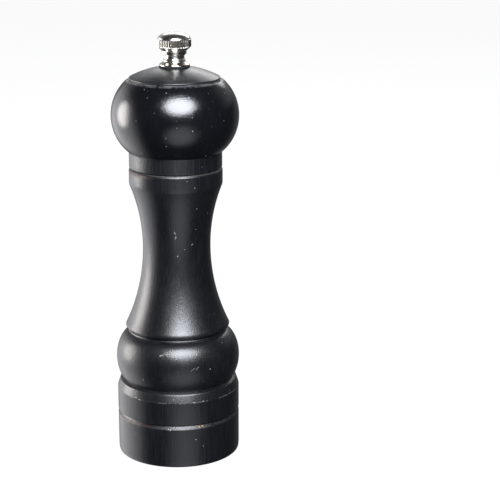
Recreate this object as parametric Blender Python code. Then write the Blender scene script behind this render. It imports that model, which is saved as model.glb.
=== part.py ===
"""A turned wooden pepper mill with a knurled metal knob and a conical burr grinder.

The mill stands on z = 0 with its axis on +Z, in metres. Everything that is round is turned about that
axis. The head turns the square shaft, the shaft turns the rotor inside the fixed stator, and the knob on
the shaft's thread draws shaft and rotor up to close the grinding gap.
"""

import math

import bmesh
import bpy
from mathutils import Matrix

MM = 0.001

# Gaps between pieces
REST_GAP = 0.3 * MM  # between two faces where one rests on the other
THIN_GAP = 0.2 * MM  # between thin pieces stacked on the axis
TURN_GAP = 0.3 * MM  # round a piece that turns in another
PRESS_GAP = 0.2 * MM  # round a piece that is held fast in another
SLIDE_GAP = 0.25 * MM  # each side of the square shaft in a square hole
SCREW_GAP = 0.15 * MM  # round a screw in its hole and under its head
CUT_PAST = 1.0 * MM  # how far a cutter reaches past the face it cuts through

# Wooden body, from the foot up
BASE_RADIUS = 29.3 * MM
FOOT_FILLET = 1.0 * MM
BAND_GROOVE_Z = 18.9 * MM  # lower edge of the groove round the base
BAND_GROOVE_HEIGHT = 2.4 * MM
BAND_GROOVE_DEPTH = 0.8 * MM
BAND_GROOVE_SKEW = 2 / 3  # how far up the groove its deepest line lies
SHOULDER_Z = 32.1 * MM
SHOULDER_HEIGHT = 5.2 * MM
SHOULDER_INSET = 3.6 * MM
SHOULDER_SWEEP = 75.0  # degrees of the rounding that the shoulder keeps
NOTCH_INSET = 4.2 * MM  # depth of the notch between shoulder and bead
BEAD_OVERHANG = 0.2 * MM  # how far the bead stands out past the base
BEAD_BULGE = 8.0 * MM
BEAD_HALF_HEIGHT = 14.6 * MM
BEAD_ABOVE_SHOULDER = 10.6 * MM  # from the shoulder's top up to the bead's middle
BEAD_TOP_HEIGHT = 12.2 * MM  # from the bead's middle up to its top edge
BEAD_FOOT_STEP = 0.3 * MM  # how far the bead's foot stands out past the notch
LIP_GROOVE_DEPTH = 1.4 * MM
LIP_GROOVE_HEIGHT = 1.8 * MM
LIP_RADIUS = 1.3 * MM
LIP_INSET = 1.1 * MM  # how far the flare's lip stands in from the bead's top edge
LIP_ROUNDING = (-70.0, -15.0)  # degrees between which the lip is round
WAIST_RADIUS = 16.05 * MM
FLARE_LENGTH = 38.4 * MM  # from the lip up to the waist
RISE_LENGTH = 30.4 * MM  # from the waist up to the neck
NECK_OVERHANG = 5.95 * MM  # how far the neck stands out past the waist
NECK_HEIGHT = 6.6 * MM
RIM_CHAMFER_HEIGHT = 1.0 * MM
RIM_CHAMFER_WIDTH = 0.75 * MM

# Bores in the body
RECESS_DEPTH = 10.6 * MM
LEDGE_WIDTH = 5.3 * MM  # the step in the recess that the housing's flange is screwed to
CHAMBER_WALL = 3.75 * MM  # wood left round the chamber at the waist
SOCKET_WALL = 7.0 * MM  # wood left round the head's tenon
SOCKET_SPARE = 1.1 * MM  # space left under the tenon

# Wooden head, from the tenon up
TENON_LENGTH = 9.4 * MM
TENON_CHAMFER = 0.4 * MM
COLLAR_INSET = 0.2 * MM  # the collar is this much smaller in radius than the neck under it
COLLAR_HEIGHT = 7.3 * MM
COLLAR_CHAMFER = 0.3 * MM
BULB_OVERHANG = 8.05 * MM  # how far the bulb stands out past the collar
BULB_BULGE = 19.8 * MM
BULB_HALF_HEIGHT = 21.1 * MM
DOME_RADIUS = 21.2 * MM
DOME_RISE = 5.3 * MM  # from the dome's edge to where its top would be with no seat
DOME_EDGE_HEIGHT = 0.5 * MM
DOME_GROOVE_DEPTH = 0.5 * MM
DOME_GROOVE_HEIGHT = 0.8 * MM
DOME_LEDGE_WIDTH = 1.3 * MM
KNOB_SEAT_MARGIN = 0.5 * MM  # flat round the washer
HEAD_BORE_SPARE = 0.7 * MM  # round the corners of the shaft

# Shaft and thread
SHAFT_WIDTH = 5.5 * MM
SHAFT_CORNER = 0.96  # a rounded corner's share of the sharp one
JOURNAL_INSET = 0.45 * MM  # how far the journal lies inside the shaft's flats
JOURNAL_BELOW_BAR = 1.3 * MM
CLIP_GROOVE_DEPTH = 0.6 * MM
CLIP_GROOVE_SPARE = 0.1 * MM
THREAD_INSET = 0.25 * MM  # how far the thread's crest lies inside the shaft's flats
THREAD_DEPTH = 0.45 * MM
THREAD_PITCH = 0.8 * MM
THREAD_ROWS = 3  # rows of points in one pitch
THREAD_BELOW_KNOB = 2.8 * MM
THREAD_IN_KNOB = 9.6 * MM
ADJUSTMENT = 1.2 * MM  # how far the knob can draw the shaft up
KNOB_BORE_SPARE = 0.5 * MM

# Knob and its washer, from the flange up
KNOB_NECK_WALL = 1.95 * MM  # metal left round the bore at the neck
KNOB_FLANGE_OVERHANG = 2.45 * MM  # how far the flange stands out past the neck
KNOB_FLANGE_HEIGHT = 1.8 * MM
KNOB_NECK_HEIGHT = 3.0 * MM
KNOB_COLLAR_OVERHANG = 1.05 * MM
KNOB_COLLAR_BEVEL = 0.4 * MM
KNOB_COLLAR_HEIGHT = 1.5 * MM
KNOB_CONE_HEIGHT = 1.5 * MM
KNOB_RIM_OVERHANG = 3.3 * MM  # how far the rim stands out past the neck
KNOB_RIM_HEIGHT = 3.9 * MM
KNOB_RIM_EDGE = 0.4 * MM
KNOB_CROWN_HEIGHT = 3.1 * MM
KNOB_CROWN_FLAT = 0.1  # share of the crown's radius that is flat on top
KNURL_DEPTH = 0.35 * MM
WASHER_OVERHANG = 0.2 * MM
WASHER_THICKNESS = 0.5 * MM

# Grinder, from the bar up
BAR_THICKNESS = 1.5 * MM
BAR_SIDE_WALL = 1.95 * MM  # metal left each side of the bar's bearing
FLANGE_THICKNESS = 1.8 * MM
THRUST_OVERHANG = 1.1 * MM  # how far the thrust washer stands out past the clip
THRUST_THICKNESS = 0.8 * MM
CLIP_OVERHANG = 2.1 * MM  # how far the clip stands out past the journal
CLIP_THICKNESS = 0.7 * MM
CLIP_OPENING = 70.0  # degrees
SKIRT_HEIGHT = 6.0 * MM
ROTOR_HEIGHT = 13.0 * MM
BURR_TAPER = 0.35  # radius lost for each unit of height
TOOTH_DEPTH = 0.8 * MM
FEED_TOOTH_DEPTH = 1.4 * MM
TOP_TOOTH_DEPTH = 0.95 * MM
ROTOR_LIP = 1.55 * MM  # from the spring's pocket out to the crests at the rotor's top
TEETH = 16
GRIND_GAP = 0.55 * MM  # between rotor and stator at the coarsest setting
STATOR_HEIGHT = 12.0 * MM
STATOR_FOOT_WALL = 1.0 * MM  # metal left outside the teeth at the stator's foot
STATOR_MOUTH_WALL = 1.3 * MM
HOUSING_WALL = 2.2 * MM
HOUSING_STEP = 1.0 * MM  # the inner shoulder that the stator is pushed up against
SEAT_CLEARANCE = 1.0 * MM  # from the rotor's top, fully raised, up to the spring seat
BRIDGE_THICKNESS = 2.2 * MM
BRIDGE_WIDTH = 6.4 * MM
HUB_WALL = 1.6 * MM
HUB_BORE_SPARE = 0.3 * MM  # round the corners of the shaft
POCKET_DEPTH = 5.5 * MM
SEAT_THICKNESS = 0.9 * MM
SPRING_WIRE = 0.8 * MM
SPRING_TURNS = 5
SPRING_SPARE = 0.55 * MM  # between the shaft's corners and the spring
SPRING_CLOSE_GAP = 0.1 * MM  # between the close turns at the spring's ends

# Drive plate under the head
PLATE_RIM_WALL = 2.3 * MM  # wood left round the plate in the tenon
PLATE_THICKNESS = 1.5 * MM
PLATE_SCREW_INSET = 3.5 * MM  # from the plate's edge in to its screws

# Screws
WOOD_SCREW_RADIUS = 1.1 * MM
WOOD_SCREW_LENGTH = 9.0 * MM
PLATE_SCREW_LENGTH = 8.0 * MM
PAN_HEAD_RADIUS = 2.2 * MM
PAN_HEAD_HEIGHT = 1.4 * MM
PAN_HEAD_FLAT = 0.75  # share of the head's radius that is flat
PAN_HEAD_ROUNDED = 0.4  # share of the head's height that is rounded
COUNTERSINK_RADIUS = 2.4 * MM
COUNTERSINK_HEIGHT = 1.2 * MM
COUNTERSINK_RIM = 0.15 * MM  # upright edge of the head
SLOT_WIDTH = 0.6 * MM
SLOT_DEPTH = 0.6 * MM

# How finely round shapes are cut
ROUND = 36
KNOB_ROUND = 48
BURR_ROUND = 64
SHAFT_ROUND = 16
SMALL_ROUND = 16
WASHER_ROUND = 28
WIRE_ROUND = 6
COIL_ROUND = 14
FILLET_STEPS = 2
SHOULDER_STEPS = 4
BEAD_STEPS = 8
FLARE_STEPS = 7
RISE_STEPS = 6
BULB_STEPS = 12
DOME_STEPS = 4
CROWN_STEPS = 3
BAR_END_STEPS = 4
CLIP_STEPS = 20
BURR_STEPS = 3  # rows of points in the skirt's teeth, and in the feed teeth above it
MOUTH_STEPS = 2
SHARP_ANGLE = 30.0  # degrees over which an edge is drawn sharp
MERGE_DISTANCE = 0.0001 * MM

# Radii that follow from those above, from the shaft outwards
SHAFT_CORNER_RADIUS = SHAFT_WIDTH / 2 * math.sqrt(2) * SHAFT_CORNER
SQUARE_HOLE_WIDTH = SHAFT_WIDTH + 2 * SLIDE_GAP
HEAD_BORE_RADIUS = SHAFT_CORNER_RADIUS + HEAD_BORE_SPARE
HUB_BORE_RADIUS = SHAFT_CORNER_RADIUS + HUB_BORE_SPARE
HUB_RADIUS = HUB_BORE_RADIUS + HUB_WALL
JOURNAL_RADIUS = SHAFT_WIDTH / 2 - JOURNAL_INSET
JOURNAL_HOLE_RADIUS = JOURNAL_RADIUS + SLIDE_GAP
CLIP_GROOVE_RADIUS = JOURNAL_RADIUS - CLIP_GROOVE_DEPTH
CLIP_RADIUS = JOURNAL_RADIUS + CLIP_OVERHANG
THRUST_RADIUS = CLIP_RADIUS + THRUST_OVERHANG
BAR_WIDTH = 2 * (JOURNAL_HOLE_RADIUS + BAR_SIDE_WALL)
THREAD_RADIUS = SHAFT_WIDTH / 2 - THREAD_INSET
KNOB_BORE_RADIUS = THREAD_RADIUS + SCREW_GAP
KNOB_NECK_RADIUS = KNOB_BORE_RADIUS + KNOB_NECK_WALL
KNOB_FLANGE_RADIUS = KNOB_NECK_RADIUS + KNOB_FLANGE_OVERHANG
KNOB_RIM_RADIUS = KNOB_NECK_RADIUS + KNOB_RIM_OVERHANG
WASHER_RADIUS = KNOB_FLANGE_RADIUS + WASHER_OVERHANG
KNOB_SEAT_RADIUS = WASHER_RADIUS + KNOB_SEAT_MARGIN
SPRING_RADIUS = SHAFT_CORNER_RADIUS + SPRING_SPARE + SPRING_WIRE / 2
SPRING_OUTER_RADIUS = SPRING_RADIUS + SPRING_WIRE / 2
SPRING_END_PITCH = SPRING_WIRE + SPRING_CLOSE_GAP
POCKET_RADIUS = SPRING_OUTER_RADIUS + TURN_GAP
ROTOR_RADIUS = POCKET_RADIUS + ROTOR_LIP + BURR_TAPER * ROTOR_HEIGHT
# Heights of the grinder on the axis, from the foot up
HOUSING_Z = RECESS_DEPTH - REST_GAP - FLANGE_THICKNESS
BAR_Z = HOUSING_Z - REST_GAP - BAR_THICKNESS
THRUST_Z = BAR_Z + BAR_THICKNESS + THIN_GAP
CLIP_Z = THRUST_Z + THRUST_THICKNESS + THIN_GAP
ROTOR_Z = CLIP_Z + CLIP_THICKNESS + THIN_GAP
STATOR_Z = HOUSING_Z + REST_GAP
POCKET_FLOOR_Z = ROTOR_Z + ROTOR_HEIGHT - POCKET_DEPTH
SEAT_Z = ROTOR_Z + ROTOR_HEIGHT + ADJUSTMENT + SEAT_CLEARANCE
BRIDGE_Z = SEAT_Z + SEAT_THICKNESS + THIN_GAP
HOUSING_TOP_Z = BRIDGE_Z + BRIDGE_THICKNESS
CHAMBER_Z = HOUSING_TOP_Z + REST_GAP

# Radii of the grinder's outside and of the wood round it
STATOR_TEETH_RADIUS = ROTOR_RADIUS + BURR_TAPER * (ROTOR_Z - STATOR_Z) + GRIND_GAP + TOOTH_DEPTH
STATOR_RADIUS = STATOR_TEETH_RADIUS + STATOR_FOOT_WALL
HOUSING_BORE_RADIUS = STATOR_RADIUS + PRESS_GAP
HOUSING_RADIUS = HOUSING_BORE_RADIUS + HOUSING_WALL
GRINDER_BORE_RADIUS = HOUSING_RADIUS + PRESS_GAP
RECESS_RADIUS = GRINDER_BORE_RADIUS + LEDGE_WIDTH
FLANGE_RADIUS = RECESS_RADIUS - REST_GAP
SCREW_CIRCLE = (GRINDER_BORE_RADIUS + FLANGE_RADIUS) / 2
SCREW_HOLE_RADIUS = WOOD_SCREW_RADIUS + SCREW_GAP
BEAD_RADIUS = BASE_RADIUS + BEAD_OVERHANG
BEAD_CORE = BEAD_RADIUS - BEAD_BULGE
BEAD_TOP_ANGLE = math.asin(BEAD_TOP_HEIGHT / BEAD_HALF_HEIGHT)
FLARE_RADIUS = BEAD_CORE + BEAD_BULGE * math.cos(BEAD_TOP_ANGLE) - LIP_INSET
CHAMBER_RADIUS = WAIST_RADIUS - CHAMBER_WALL
NECK_RADIUS = WAIST_RADIUS + NECK_OVERHANG
SOCKET_RADIUS = NECK_RADIUS - SOCKET_WALL
COLLAR_RADIUS = NECK_RADIUS - COLLAR_INSET
BULB_RADIUS = COLLAR_RADIUS + BULB_OVERHANG
TENON_RADIUS = SOCKET_RADIUS - TURN_GAP
PLATE_RECESS_RADIUS = TENON_RADIUS - PLATE_RIM_WALL
PLATE_RADIUS = PLATE_RECESS_RADIUS - PRESS_GAP
PLATE_SCREW_CIRCLE = PLATE_RADIUS - PLATE_SCREW_INSET

# Heights of the wood and the knob, from the foot up
BEAD_Z = SHOULDER_Z + SHOULDER_HEIGHT + BEAD_ABOVE_SHOULDER
BEAD_TOP_Z = BEAD_Z + BEAD_TOP_HEIGHT
LIP_Z = BEAD_TOP_Z + LIP_GROOVE_HEIGHT + LIP_RADIUS
WAIST_Z = LIP_Z + FLARE_LENGTH
NECK_Z = WAIST_Z + RISE_LENGTH
RIM_Z = NECK_Z + NECK_HEIGHT + RIM_CHAMFER_HEIGHT
COLLAR_Z = RIM_Z + REST_GAP
TENON_Z = COLLAR_Z - TENON_LENGTH
SOCKET_Z = TENON_Z - SOCKET_SPARE
BULB_CORE = BULB_RADIUS - BULB_BULGE
BULB_LOW_ANGLE = math.acos((COLLAR_RADIUS - BULB_CORE) / BULB_BULGE)
BULB_HIGH_ANGLE = math.acos((DOME_RADIUS + DOME_LEDGE_WIDTH - BULB_CORE) / BULB_BULGE)
BULB_Z = COLLAR_Z + COLLAR_HEIGHT + BULB_HALF_HEIGHT * math.sin(BULB_LOW_ANGLE)
LEDGE_Z = BULB_Z + BULB_HALF_HEIGHT * math.sin(BULB_HIGH_ANGLE)
DOME_EDGE_Z = LEDGE_Z + DOME_GROOVE_HEIGHT + DOME_EDGE_HEIGHT
KNOB_SEAT_Z = DOME_EDGE_Z + DOME_RISE * (1 - (KNOB_SEAT_RADIUS / DOME_RADIUS) ** 2)
WASHER_Z = KNOB_SEAT_Z + THIN_GAP
KNOB_Z = WASHER_Z + WASHER_THICKNESS + THIN_GAP


def material(name, colour, roughness, metallic):
    """A plain material in one colour, which is linear red, green and blue."""
    made = bpy.data.materials.new(name)
    made.use_nodes = True
    shader = made.node_tree.nodes["Principled BSDF"]
    shader.inputs["Base Color"].default_value = (*colour, 1.0)
    shader.inputs["Roughness"].default_value = roughness
    shader.inputs["Metallic"].default_value = metallic
    return made


def add_object(name, bm, finish, parent=None, place=(0.0, 0.0, 0.0)):
    """Turns a bmesh into a named object at a place, with its faces pointing out."""
    bmesh.ops.remove_doubles(bm, verts=bm.verts, dist=MERGE_DISTANCE)
    bmesh.ops.recalc_face_normals(bm, faces=bm.faces)
    mesh = bpy.data.meshes.new(name)
    bm.to_mesh(mesh)
    bm.free()
    mesh.shade_smooth()
    mesh.set_sharp_from_angle(angle=math.radians(SHARP_ANGLE))
    mesh.materials.append(finish)
    obj = bpy.data.objects.new(name, mesh)
    bpy.context.scene.collection.objects.link(obj)
    obj.location = place
    obj.parent = parent
    return obj


def add_frame(name, parent=None):
    """An empty on the mill's axis that carries the pieces that move together."""
    frame = bpy.data.objects.new(name, None)
    bpy.context.scene.collection.objects.link(frame)
    frame.parent = parent
    return frame


def combine(obj, name, bm, operation, place=(0.0, 0.0, 0.0), turned=0.0):
    """Cuts a hidden helper from a piece, or joins it on."""
    helper = add_object(name, bm, obj.data.materials[0], place=place)
    helper.rotation_euler.z = turned
    helper.hide_render = True
    helper.display_type = "WIRE"
    modifier = obj.modifiers.new(name, "BOOLEAN")
    modifier.operation = operation
    modifier.object = helper
    modifier.solver = "EXACT"


def arc(centre_r, centre_z, half_r, half_z, start, end, steps):
    """Points along an arc of an ellipse in the (radius, height) plane, between two angles in radians."""
    points = []
    for step in range(steps + 1):
        angle = start + (end - start) * step / steps
        points.append((centre_r + half_r * math.cos(angle), centre_z + half_z * math.sin(angle)))
    return points


def waist_arc(end_r, end_z, steps):
    """Points along the circle that is upright at the waist and passes through the given end."""
    rise = end_z - WAIST_Z
    spread = end_r - WAIST_RADIUS
    radius = (rise**2 + spread**2) / (2 * spread)
    reach = math.asin(rise / radius)
    return arc(WAIST_RADIUS + radius, WAIST_Z, -radius, radius, 0.0, reach, steps)


def turned(outline, closed, segments):
    """A bmesh of an outline of (radius, height) points turned about the axis."""
    bm = bmesh.new()
    verts = [bm.verts.new((r, 0.0, z)) for r, z in outline]
    edges = [bm.edges.new(pair) for pair in zip(verts, verts[1:])]
    if closed:
        edges.append(bm.edges.new((verts[-1], verts[0])))
    bmesh.ops.spin(
        bm,
        geom=verts + edges,
        axis=(0, 0, 1),
        angle=2 * math.pi,
        steps=segments,
        use_merge=True,
    )
    return bm


def washer(inner, outer, low, high, segments=WASHER_ROUND):
    """A bmesh of a flat ring between two heights."""
    return turned([(inner, low), (outer, low), (outer, high), (inner, high)], True, segments)


def disc(radius, height):
    """A bmesh of a disc standing on z = 0."""
    return turned([(0, 0), (radius, 0), (radius, height), (0, height)], False, WASHER_ROUND)


def lofted(rings):
    """A bmesh skinned over rings of equally many points, with a face across each end."""
    bm = bmesh.new()
    loops = [[bm.verts.new(point) for point in points] for points in rings]
    count = len(rings[0])
    bm.faces.new(loops[0])
    bm.faces.new(loops[-1])
    for low, high in zip(loops, loops[1:]):
        for i in range(count):
            j = (i + 1) % count
            bm.faces.new((low[i], low[j], high[j], high[i]))
    return bm


def ring(radius_at, z, count, shift=0):
    """Points round the axis whose radius is a function of their angle, starting some steps round."""
    points = []
    for i in range(count):
        angle = 2 * math.pi * (i + shift) / count
        radius = radius_at(angle)
        points.append((radius * math.cos(angle), radius * math.sin(angle), z))
    return points


def circle(radius):
    """The radius function of a round ring."""
    return lambda angle: radius


def burr_blank(radius, height):
    """A bmesh of a round blank standing on z = 0."""
    return lofted([ring(circle(radius), z, BURR_ROUND) for z in (0.0, height)])


def square(width, corner_radius):
    """The radius function of a square ring whose corners are cut back to a radius."""
    return lambda angle: min(width / 2 / max(abs(math.cos(angle)), abs(math.sin(angle))), corner_radius)


def toothed(crest, root, count, turn=0.0):
    """The radius function of evenly spaced teeth between two radii, turned by a share of a circle."""

    def radius(angle):
        share = ((angle / (2 * math.pi) - turn) * count) % 1.0
        return crest + (root - crest) * (1 - abs(2 * share - 1))

    return radius


def block(width, depth, height):
    """A bmesh of a box standing on z = 0, centred on the axis."""
    bm = bmesh.new()
    bmesh.ops.create_cube(bm, size=1.0, matrix=Matrix.Diagonal((width, depth, height, 1.0)))
    bmesh.ops.translate(bm, vec=(0, 0, height / 2), verts=bm.verts)
    return bm


def rods(radius, height, places):
    """A bmesh of upright cylinders standing on z = 0 at several places."""
    bm = bmesh.new()
    for x, y in places:
        bmesh.ops.create_cone(
            bm,
            cap_ends=True,
            segments=SMALL_ROUND,
            radius1=radius,
            radius2=radius,
            depth=height,
            matrix=Matrix.Translation((x, y, height / 2)),
        )
    return bm


def cut_square(obj, thickness, low):
    """Cuts the shaft's square hole right through a piece that starts at a height on the axis."""
    hole = block(SQUARE_HOLE_WIDTH, SQUARE_HOLE_WIDTH, thickness + 2 * CUT_PAST)
    combine(obj, obj.name + "_square", hole, "DIFFERENCE", (0, 0, low - CUT_PAST))


def extruded(outline, height):
    """A bmesh of a flat outline of (x, y) points raised to a height."""
    rings = [[(x, y, z) for x, y in outline] for z in (0.0, height)]
    return lofted(rings)


def housing_screw_places():
    """Where the two screws of the housing's flange stand."""
    return [(0.0, SCREW_CIRCLE), (0.0, -SCREW_CIRCLE)]


def bar_screw_places():
    """Where the two screws at the ends of the bar stand."""
    return [(SCREW_CIRCLE, 0.0), (-SCREW_CIRCLE, 0.0)]


def plate_screw_places():
    """Where the two screws of the drive plate stand."""
    return [(PLATE_SCREW_CIRCLE, 0.0), (-PLATE_SCREW_CIRCLE, 0.0)]


def base_outline():
    """The outside of the base, its groove and its shoulder, from the foot up."""
    foot = BASE_RADIUS - FOOT_FILLET
    points = arc(foot, FOOT_FILLET, FOOT_FILLET, FOOT_FILLET, -math.pi / 2, 0, FILLET_STEPS)
    groove_mid = BAND_GROOVE_Z + BAND_GROOVE_HEIGHT * BAND_GROOVE_SKEW
    points += [
        (BASE_RADIUS, BAND_GROOVE_Z),
        (BASE_RADIUS - BAND_GROOVE_DEPTH, groove_mid),
        (BASE_RADIUS, BAND_GROOVE_Z + BAND_GROOVE_HEIGHT),
    ]
    core = BASE_RADIUS - SHOULDER_INSET
    sweep = math.radians(SHOULDER_SWEEP)
    points += arc(core, SHOULDER_Z, SHOULDER_INSET, SHOULDER_HEIGHT, 0, sweep, SHOULDER_STEPS)
    points.append((BASE_RADIUS - NOTCH_INSET, SHOULDER_Z + SHOULDER_HEIGHT))
    return points


def bead_outline():
    """The outside of the bead, the groove above it and the flare's lip, from the notch up."""
    foot = BASE_RADIUS - NOTCH_INSET + BEAD_FOOT_STEP
    low = -math.acos((foot - BEAD_CORE) / BEAD_BULGE)
    points = arc(BEAD_CORE, BEAD_Z, BEAD_BULGE, BEAD_HALF_HEIGHT, low, BEAD_TOP_ANGLE, BEAD_STEPS)
    points.append((FLARE_RADIUS - LIP_GROOVE_DEPTH, BEAD_TOP_Z + LIP_GROOVE_HEIGHT / 2))
    lip_core = FLARE_RADIUS - LIP_RADIUS
    low, high = (math.radians(angle) for angle in LIP_ROUNDING)
    return points + arc(lip_core, LIP_Z, LIP_RADIUS, LIP_RADIUS, low, high, FILLET_STEPS)


def bore_outline():
    """The socket, chamber, grinder bore and recess, from the rim down."""
    return [
        (SOCKET_RADIUS, RIM_Z),
        (SOCKET_RADIUS, SOCKET_Z),
        (CHAMBER_RADIUS, SOCKET_Z),
        (CHAMBER_RADIUS, CHAMBER_Z),
        (GRINDER_BORE_RADIUS, CHAMBER_Z),
        (GRINDER_BORE_RADIUS, RECESS_DEPTH),
        (RECESS_RADIUS, RECESS_DEPTH),
        (RECESS_RADIUS, 0.0),
    ]


def make_body(parent, finish):
    """The turned wooden body, with its socket, chamber, grinder bore and recess."""
    outline = base_outline() + bead_outline()
    outline += waist_arc(FLARE_RADIUS, LIP_Z, FLARE_STEPS)[:0:-1]
    outline += waist_arc(NECK_RADIUS, NECK_Z, RISE_STEPS)
    outline.append((NECK_RADIUS, NECK_Z + NECK_HEIGHT))
    outline.append((NECK_RADIUS - RIM_CHAMFER_WIDTH, RIM_Z))
    body = add_object("body", turned(outline + bore_outline(), True, ROUND), finish, parent)
    places = housing_screw_places() + bar_screw_places()
    holes = rods(SCREW_HOLE_RADIUS, WOOD_SCREW_LENGTH + SCREW_GAP, places)
    combine(body, "body_pilot_holes", holes, "DIFFERENCE", (0, 0, HOUSING_Z))


def head_outline():
    """The head's outline: up the outside from the tenon, then down through the shaft's bore."""
    plate_recess_z = TENON_Z + PLATE_THICKNESS + PRESS_GAP
    points = [
        (PLATE_RECESS_RADIUS, TENON_Z),
        (TENON_RADIUS - TENON_CHAMFER, TENON_Z),
        (TENON_RADIUS, TENON_Z + TENON_CHAMFER),
        (TENON_RADIUS, COLLAR_Z),
        (COLLAR_RADIUS - COLLAR_CHAMFER, COLLAR_Z),
        (COLLAR_RADIUS, COLLAR_Z + COLLAR_CHAMFER),
    ]
    low, high = -BULB_LOW_ANGLE, BULB_HIGH_ANGLE
    points += arc(BULB_CORE, BULB_Z, BULB_BULGE, BULB_HALF_HEIGHT, low, high, BULB_STEPS)
    points += [
        (DOME_RADIUS - DOME_GROOVE_DEPTH, LEDGE_Z),
        (DOME_RADIUS - DOME_GROOVE_DEPTH, LEDGE_Z + DOME_GROOVE_HEIGHT),
        (DOME_RADIUS, LEDGE_Z + DOME_GROOVE_HEIGHT),
    ]
    for step in range(DOME_STEPS + 1):
        radius = DOME_RADIUS + (KNOB_SEAT_RADIUS - DOME_RADIUS) * step / DOME_STEPS
        points.append((radius, DOME_EDGE_Z + DOME_RISE * (1 - (radius / DOME_RADIUS) ** 2)))
    points += [
        (HEAD_BORE_RADIUS, KNOB_SEAT_Z),
        (HEAD_BORE_RADIUS, plate_recess_z),
        (PLATE_RECESS_RADIUS, plate_recess_z),
    ]
    return points


def make_head(parent, finish):
    """The turned wooden head, with its tenon, collar, bulb and dome."""
    head = add_object("head", turned(head_outline(), True, ROUND), finish, parent)
    holes = rods(SCREW_HOLE_RADIUS, PLATE_SCREW_LENGTH + SCREW_GAP, plate_screw_places())
    combine(head, "head_pilot_holes", holes, "DIFFERENCE", (0, 0, TENON_Z))


def cut_slot(screw, radius, place, turn=0.0):
    """Cuts a driver slot across the head of a screw whose head faces down at a place."""
    x, y, z = place
    slot = block(2 * (radius + CUT_PAST), SLOT_WIDTH, SLOT_DEPTH + CUT_PAST)
    combine(screw, screw.name + "_slot", slot, "DIFFERENCE", (x, y, z - CUT_PAST), turn)


def shank_end(radius, top):
    """The end of a screw's outline: a blunt point that ends at a height."""
    return [(radius, top - 2 * radius), (radius / 2, top), (0, top)]


def countersunk(spare, length):
    """A bmesh of a countersunk screw, head down on z = 0, or with some spare round it of its hole."""
    head = COUNTERSINK_RADIUS + spare
    shank = WOOD_SCREW_RADIUS + spare
    outline = [
        (0, -spare),
        (head, -spare),
        (head, COUNTERSINK_RIM),
        (shank, COUNTERSINK_HEIGHT + spare),
    ]
    return turned(outline + shank_end(shank, length), False, SMALL_ROUND)


def make_drive_plate(parent, plate_finish, screw_finish):
    """The plate let into the tenon, whose square hole turns the shaft, and its two screws."""
    plate = add_object(
        "drive_plate",
        disc(PLATE_RADIUS, PLATE_THICKNESS),
        plate_finish,
        parent,
        (0, 0, TENON_Z),
    )
    cut_square(plate, PLATE_THICKNESS, TENON_Z)
    for number, (x, y) in enumerate(plate_screw_places(), start=1):
        place = (x, y, TENON_Z)
        sink = countersunk(SCREW_GAP, PLATE_SCREW_LENGTH)
        combine(plate, f"drive_plate_hole_{number}", sink, "DIFFERENCE", place)
        name = f"drive_plate_screw_{number}"
        screw = add_object(name, countersunk(0.0, PLATE_SCREW_LENGTH), screw_finish, parent, place)
        cut_slot(screw, COUNTERSINK_RADIUS, place)


def make_pan_screws(name, face_z, places, turn, parent, finish):
    """Round-headed wood screws driven upwards, their heads under the face at face_z."""
    head_z = face_z - SCREW_GAP - PAN_HEAD_HEIGHT
    top = PAN_HEAD_HEIGHT + WOOD_SCREW_LENGTH
    outline = [
        (0, 0),
        (PAN_HEAD_FLAT * PAN_HEAD_RADIUS, 0),
        (PAN_HEAD_RADIUS, PAN_HEAD_ROUNDED * PAN_HEAD_HEIGHT),
        (PAN_HEAD_RADIUS, PAN_HEAD_HEIGHT),
        (WOOD_SCREW_RADIUS, PAN_HEAD_HEIGHT),
    ]
    outline += shank_end(WOOD_SCREW_RADIUS, top)
    for number, (x, y) in enumerate(places, start=1):
        bm = turned(outline, False, SMALL_ROUND)
        screw = add_object(f"{name}_{number}", bm, finish, parent, (x, y, head_z))
        cut_slot(screw, PAN_HEAD_RADIUS, (x, y, head_z), turn)


def make_washer(parent, finish):
    """The thin washer between the knob and the head."""
    bm = washer(HEAD_BORE_RADIUS, WASHER_RADIUS, 0, WASHER_THICKNESS)
    add_object("knob_washer", bm, finish, parent, (0, 0, WASHER_Z))


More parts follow.
